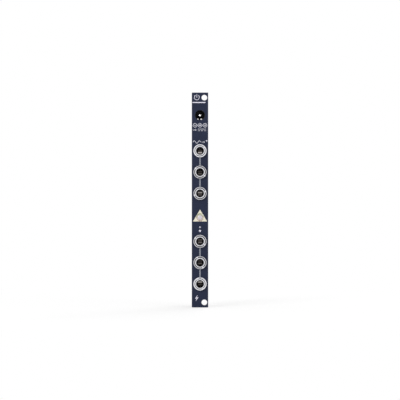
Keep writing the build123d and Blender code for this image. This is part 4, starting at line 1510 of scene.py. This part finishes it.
for name in CANS:
    low, high = corners(name)
    x, z, radius = disc(name)
    groove = low.y + CAN_GROOVE_DEPTH
    rim = radius - CAN_WALL
    crown_face = high.y - CROWN_SINK
    sleeve = Form()
    sleeve.turn(x, z, [
        (low.y + BUNG_HEIGHT, rim), (low.y + BUNG_HEIGHT, radius - CAN_GROOVE_RADIUS / 2),
        (low.y + 2 * BUNG_HEIGHT, radius), (groove - CAN_GROOVE_RADIUS, radius),
        (groove, radius - CAN_GROOVE_RADIUS), (groove + CAN_GROOVE_RADIUS, radius),
        (high.y - CAN_SHOULDER, radius), (high.y - CAN_SHOULDER / 3, radius - CAN_SHOULDER / 3),
        (high.y, radius - CAN_SHOULDER), (high.y, rim)])
    dress(sleeve, f"{name}_sleeve", can_sleeve, [name])
    crown = Form()
    crown.turn(x, z, [(high.y - CAN_WALL, 0), (high.y - CAN_WALL, rim), (crown_face, rim), (crown_face, 0)])
    score = cutout([cross(x, z, SCORE_SHARE * radius, SCORE_WIDTH / 2)], crown_face - SCORE_DEPTH,
                   high.y + CAN_WALL)
    dress(carve(crown, Form().add(score)), f"{name}_crown", aluminium)
    bung = Form()
    bung.turn(x, z, [(low.y, 0), (low.y, rim), (low.y + BUNG_HEIGHT, rim + CAN_WALL / 2),
                     (low.y + 2 * BUNG_HEIGHT, rim), (low.y + 2 * BUNG_HEIGHT, 0)], SMALL_TURN_STEPS)
    dress(bung, f"{name}_bung", rubber)
print(len(CANS), "cans dressed")

# %% [markdown]
# The small parts on the inner face of the power board are blocks with tinned ends. The ends wrap round
# the block, so they stand a hair proud of it, and only the diode's stop at half its height. The chokes
# are different: a square ferrite ring, a round core in its middle and a gap between them.

# %% Chips, chokes and their terminals
CAP_RISE = 0.03
CHIP_EDGE = 0.08
# Each kind: the node, its finish, its slot, the share of its length under a tinned end, and the share
# of its height that a tinned end covers
CHIPS = (
    ("input_diode", resin, "chip_resin", 0.14, 0.5),
    ("input_fuse", fuse_polymer, "fuse_polymer", 0.16, 1),
    ("chip_resistors", resistor_glaze, "resistor_ceramic", 0.2, 1),
    ("chip_capacitors", capacitor_ceramic, "capacitor_ceramic", 0.22, 1),
)
terminals = Form()
for name, finish, slot, end_share, height_share in CHIPS:
    dress(softened(name, CHIP_EDGE), f"{name}_body", finish, [name])
    for points in solids(name):
        low, high = span(points)
        length = end_share * (high.z - low.z)
        front = low.y - CAP_RISE if height_share == 1 else low.y + height_share * (high.y - low.y)
        for bottom, top in ((low.z - CAP_RISE, low.z + length), (high.z - length, high.z + CAP_RISE)):
            terminals.box((low.x - CAP_RISE, front, bottom), (high.x + CAP_RISE, high.y, top), CAP_RISE)

CHOKE_PLATE = 0.5
CHOKE_CORE = 2.15
CHOKE_GAP = 0.3
CHOKE_CORNER = 0.7
# Half the width and the length of a tinned end, as shares of the choke's width
CHOKE_END_SHARES = (1 / 4, 1 / 6)
chokes = Form()
for points in solids("chokes"):
    low, high = span(points)
    centre, width = (low + high) / 2, high.x - low.x
    square = rounded(centre.x, centre.z, width, width, CHOKE_CORNER)
    plate = low.y + CHOKE_PLATE
    chokes.add(cutout([square], plate, high.y))
    chokes.add(cutout([square, circle(centre.x, centre.z, CHOKE_CORE + CHOKE_GAP)], low.y, plate))
    chokes.add(cutout([circle(centre.x, centre.z, CHOKE_CORE)], low.y + CAP_RISE, plate))
    half_width, length = (share * width for share in CHOKE_END_SHARES)
    for bottom, top in ((low.z - CAP_RISE, low.z + length), (high.z - length, high.z + CAP_RISE)):
        terminals.box((centre.x - half_width, high.y - CHOKE_PLATE, bottom),
                      (centre.x + half_width, high.y, top), CAP_RISE)
dress(chokes, "choke_bodies", ferrite, ["chokes"])
dress(terminals, "chip_terminals", tin)
print("chips and chokes dressed")

# %% [markdown]
# The regulator is a block of the same dark resin as the diode. A shallow dimple marks its first leg.

# %% The regulator
DIMPLE_RADIUS = 0.35
DIMPLE_DEPTH = 0.12
low, high = corners("regulator_chip")
dimple = Form()
dimple.turn(high.x - 2 * DIMPLE_RADIUS, high.z - 2 * DIMPLE_RADIUS, [
    (low.y - DIMPLE_DEPTH, 0), (low.y - DIMPLE_DEPTH, DIMPLE_RADIUS),
    (low.y + DIMPLE_DEPTH / 2, DIMPLE_RADIUS), (low.y + DIMPLE_DEPTH, DIMPLE_RADIUS / 2),
    (low.y + DIMPLE_DEPTH, 0)], DOT_STEPS)
dress(carve(softened("regulator_chip", CHIP_EDGE), dimple), "regulator_body", resin,
      ["regulator_chip"])
print("regulator dressed")

# %% [markdown]
# In each socket a switch contact stands behind the bore, and meets the tip spring while no plug is in.
# It is one bent strip with a broad head. The head, and the polished nose that the tip spring turns to
# the plug, are the two bands that shine at the bottom of a bore. Some have tarnished more than others,
# and the map of each piece says how far it went.

# %% Switch contacts and the noses of the tip springs
CONTACT_THICKNESS = 0.2
CONTACT_PIN_WIDTH = 1.0
HEAD_WIDTH = 2.7
HEAD_RISE = 0.15
HEAD_HEIGHT = 0.8
HEAD_CURL = 0.2
HEAD_TARNISH = (0.97, 0.97, 0.55, 0.9, 0.97, 0.5)
NOSE_WIDTH = 2.4
NOSE_HEIGHT = 0.8
NOSE_REACH = 1.1
NOSE_CLEARANCE = 0.05
NOSE_TARNISH = (0.3, 0.9, 0.9, 0.8, 0.9, 0.97)

contacts = Form()
for number, points, z, tarnish in zip(JACKS, solids("jack_switch_contacts"), z_jacks, HEAD_TARNISH):
    low, high = span(points)
    pin_rise, tab = high.z - CONTACT_THICKNESS / 2, low.z + CONTACT_THICKNESS / 2
    floor_depth = max(point.y for point in points if point.z < pin_rise - CONTACT_THICKNESS)
    middle_depth = floor_depth - CONTACT_THICKNESS / 2
    contacts.strip([(socket_low.y, pin_rise), (middle_depth, pin_rise), (middle_depth, tab), (low.y, tab)],
                   CONTACT_THICKNESS, high.x - low.x, x_mid)
    contacts.strip([(socket_low.y, pin_rise), (high.y, pin_rise)], CONTACT_THICKNESS, CONTACT_PIN_WIDTH,
                   x_mid)
    head, head_depth, foot = Form(), middle_depth - CONTACT_THICKNESS, z + HEAD_RISE
    head.strip([(head_depth + HEAD_CURL, foot - HEAD_CURL), (head_depth, foot),
                (head_depth, foot + HEAD_HEIGHT)], CONTACT_THICKNESS, HEAD_WIDTH, x_mid)
    dress(head.remap(tarnish, 0), f"jack_{number}_contact_head", contact_silver)
# The strips are darkened with painted shade, so that only the heads shine
dress(contacts, "switch_contact_strips", dull_tin, ["jack_switch_contacts"])

for number, tarnish in zip(JACKS, NOSE_TARNISH):
    crest = max(solids(f"jack_{number}_tip_spring")[0], key=lambda point: point.z)
    face = crest.y - NOSE_REACH
    nose = Form()
    nose.strip([(face, crest.z - NOSE_HEIGHT), (face, crest.z), (crest.y - NOSE_CLEARANCE, crest.z)],
               CONTACT_THICKNESS, NOSE_WIDTH, x_mid)
    dress(nose.remap(tarnish, 0), f"jack_{number}_spring_nose", contact_silver,
          body=f"jack_{number}_contact")
print(len(HEAD_TARNISH), "contacts bent")

# %% [markdown]
# The inlet's pin has a flat tip on a short cone, and its fork ends in two lips that meet the plug. In
# the photograph the tip is a bright spot in the dark of the well, and the lips are two bright edges.

# %% The inlet's pin and the lips of its fork
# The pin's nose: how far each ring lies behind the tip, and its share of the pin's radius
PIN_NOSE = ((0, 0), (0, 0.5), (0.09, 0.65), (0.9, 0.96), (1.17, 1))
LIP_HEIGHT = 1.0
LIP_RISE = 0.3
LIP_SPLAY = 0.25
LIP_WIDTHS = (0.6, 0.85)
LIP_EDGE = 0.05

low, high = corners("inlet_center_pin")
radius = disc("inlet_center_pin")[2]
pin_form = Form()
pin_form.turn(x_mid, z_inlet, [(low.y + depth, share * radius) for depth, share in PIN_NOSE] +
              [(high.y, radius), (high.y, 0)], SMALL_TURN_STEPS)
dress(pin_form, "inlet_pin", nickel, ["inlet_center_pin"])

low, high = corners("inlet_sleeve_spring")
fork_tips = [point.z for point in solids("inlet_sleeve_spring")[0] if point.y < low.y + CONTACT_THICKNESS]
lip_top = max(fork_tips) + LIP_RISE
left_width, right_width = LIP_WIDTHS
lips = Form()
for start, width in ((low.x - LIP_SPLAY, left_width), (high.x - right_width, right_width)):
    lips.box((start, low.y, lip_top - LIP_HEIGHT),
             (start + width, low.y + CONTACT_THICKNESS, lip_top), LIP_EDGE)
dress(lips, "inlet_fork_lips", fork_silver, body="inlet_contact")
print("pin and", len(LIP_WIDTHS), "lips in the inlet")

# %% [markdown]
# What a board shows between its parts is its wiring. Copper tracks lie under the lacquer as low, paler
# ridges with bends of 45 degrees. They follow the sense of the module: sockets of a group share their
# tips, all six share their earth, and the header is fed by the converters.

# %% Tracks
TRACK_THICKNESS = 0.01
TRACK_WIDTH = 0.6
WIDE_TRACK = 2 * TRACK_WIDTH
LANE = 1.7
EDGE_LANE = 2 * LANE
BUS_LANE = 1.2 * LANE


def route(start, end, lane, width=TRACK_WIDTH):
    """A track from a spot down to another along a lane, with its bends at 45 degrees."""
    (x0, z0), (x1, z1) = sorted((start, end), key=lambda spot: -spot[1])
    bends = [(lane, z0 - abs(lane - x0)), (lane, z1 + abs(lane - x1))]
    return [band([(x0, z0), *bends, (x1, z1)], width)]


tips = spots("jack_tip_terminals", socket_high.y)
lugs = [spots(f"jack_{number}_bushing", socket_high.y)[0] for number in JACKS]
tracks = [route(tips[upper], tips[lower], x_mid + LANE) for upper, lower in linked]
tracks += [route(upper, lower, x_mid + EDGE_LANE, WIDE_TRACK) for upper, lower in zip(lugs, lugs[1:])]
print_marks("socket_board_tracks", tracks, track_lacquer, socket_high.y, 1,
            TRACK_THICKNESS)

bus = spots("bus_header_pins", power_high.y)
leads = spots("converter_leads", power_low.y)
can_leads = spots("capacitor_leads", power_low.y)
tracks = [route(can_leads[0], leads[0], x_mid + EDGE_LANE, WIDE_TRACK),
          route(can_leads[1], leads[-1], x_mid - EDGE_LANE),
          route(leads[3], bus[0], x_mid + EDGE_LANE),
          route(leads[7], bus[1], x_mid - BUS_LANE),
          route(bus[-1], can_leads[-1], x_mid + BUS_LANE, WIDE_TRACK)]
for side, face, outward in (("rear", power_high.y, 1), ("front", power_low.y, -1)):
    print_marks(f"power_board_{side}_tracks", tracks, track_lacquer, face, outward,
                TRACK_THICKNESS)

# %% [markdown]
# White outlines on the power board show where each part goes. Vias, small tinned eyelets, carry a
# track from one face of a board to the other. The outlines are printed like the marks on the panel,
# and the vias are stamped by a recipe.

# %% Part outlines and vias
PRINT_LINE = 0.2
PRINT_MARGIN = 0.25
VIA_PITCH = 6.35
VIA_LANE = 2.2 * LANE
EYELET_SIDES = 16
BEAD_SIDES = 6


def part_outlines(*names):
    """White rectangles round the solids of some nodes."""
    found = []
    for low, high in (span(points) for name in names for points in solids(name)):
        width, height = high.x - low.x + 2 * PRINT_MARGIN, high.z - low.z + 2 * PRINT_MARGIN
        x, z = (low.x + high.x) / 2, (low.z + high.z) / 2
        found.append([rounded(x, z, width, height, PRINT_MARGIN),
                      rounded(x, z, width - 2 * PRINT_LINE, height - 2 * PRINT_LINE, PRINT_MARGIN / 2)])
    return found


marks = part_outlines("positive_converter", "negative_converter", "bus_shroud")
for x, z, radius in map(disc, CANS):
    marks.append(ring(x, z, radius + PRINT_MARGIN, PRINT_LINE))
print_marks("power_board_rear_print", marks, white_ink, power_high.y, 1)
marks = part_outlines("chokes", "regulator_chip", "input_diode", "input_fuse", "chip_resistors",
                      "chip_capacitors")
print_marks("power_board_front_print", marks, white_ink, power_low.y, -1)

via = Recipe("via")
via_radius = via.size("Radius", 0.3)
via_bead = via.size("Bead", 0.09)
eyelet, bead = (via.node("GeometryNodeCurvePrimitiveCircle", None, {"Resolution": steps, "Radius": size})
                for steps, size in ((EYELET_SIDES, via_radius), (BEAD_SIDES, via_bead)))
via.stamp(via.lay(via.node("GeometryNodeCurveToMesh", None, {"Curve": eyelet, "Profile Curve": bead})))
places = []
for face, turn, side in ((socket_high, STRAIGHT, 1), (power_high, STRAIGHT, -1), (power_low, FLIPPED, 1)):
    for i in range(int((power_high.z - power_low.z) / VIA_PITCH)):
        places.append(((x_mid + side * VIA_LANE, face.y, power_low.z + (i + 0.5) * VIA_PITCH), turn, AS_IS))
dress(via.grow(places, tin), "board_vias", tin)
print(len(places), "vias")

# %% [markdown]
# The solids that are left need only a surface: the springs, the terminals, the legs and the leads keep
# their own shape, because it is already what the real one has.

# %% Finishes for the other solids
paint_nodes(bronze, "inlet_sleeve_spring", *[f"jack_{number}_tip_spring" for number in JACKS])
paint_nodes(tin, "inlet_terminals", "jack_tip_terminals", "light_leads", "link_socket_tails",
            "converter_leads", "capacitor_leads", "regulator_legs")
paint_nodes(lens, "light_lens")
paint_nodes(board_lacquer, "socket_board", "power_board")
paint_nodes(steel, "standoff_screws")
print("all solids painted")

# %% [markdown]
# Dressing must not make the module larger than its construction. So the box round everything that is
# shown is measured.

# %% Measure the finished pieces
low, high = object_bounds()
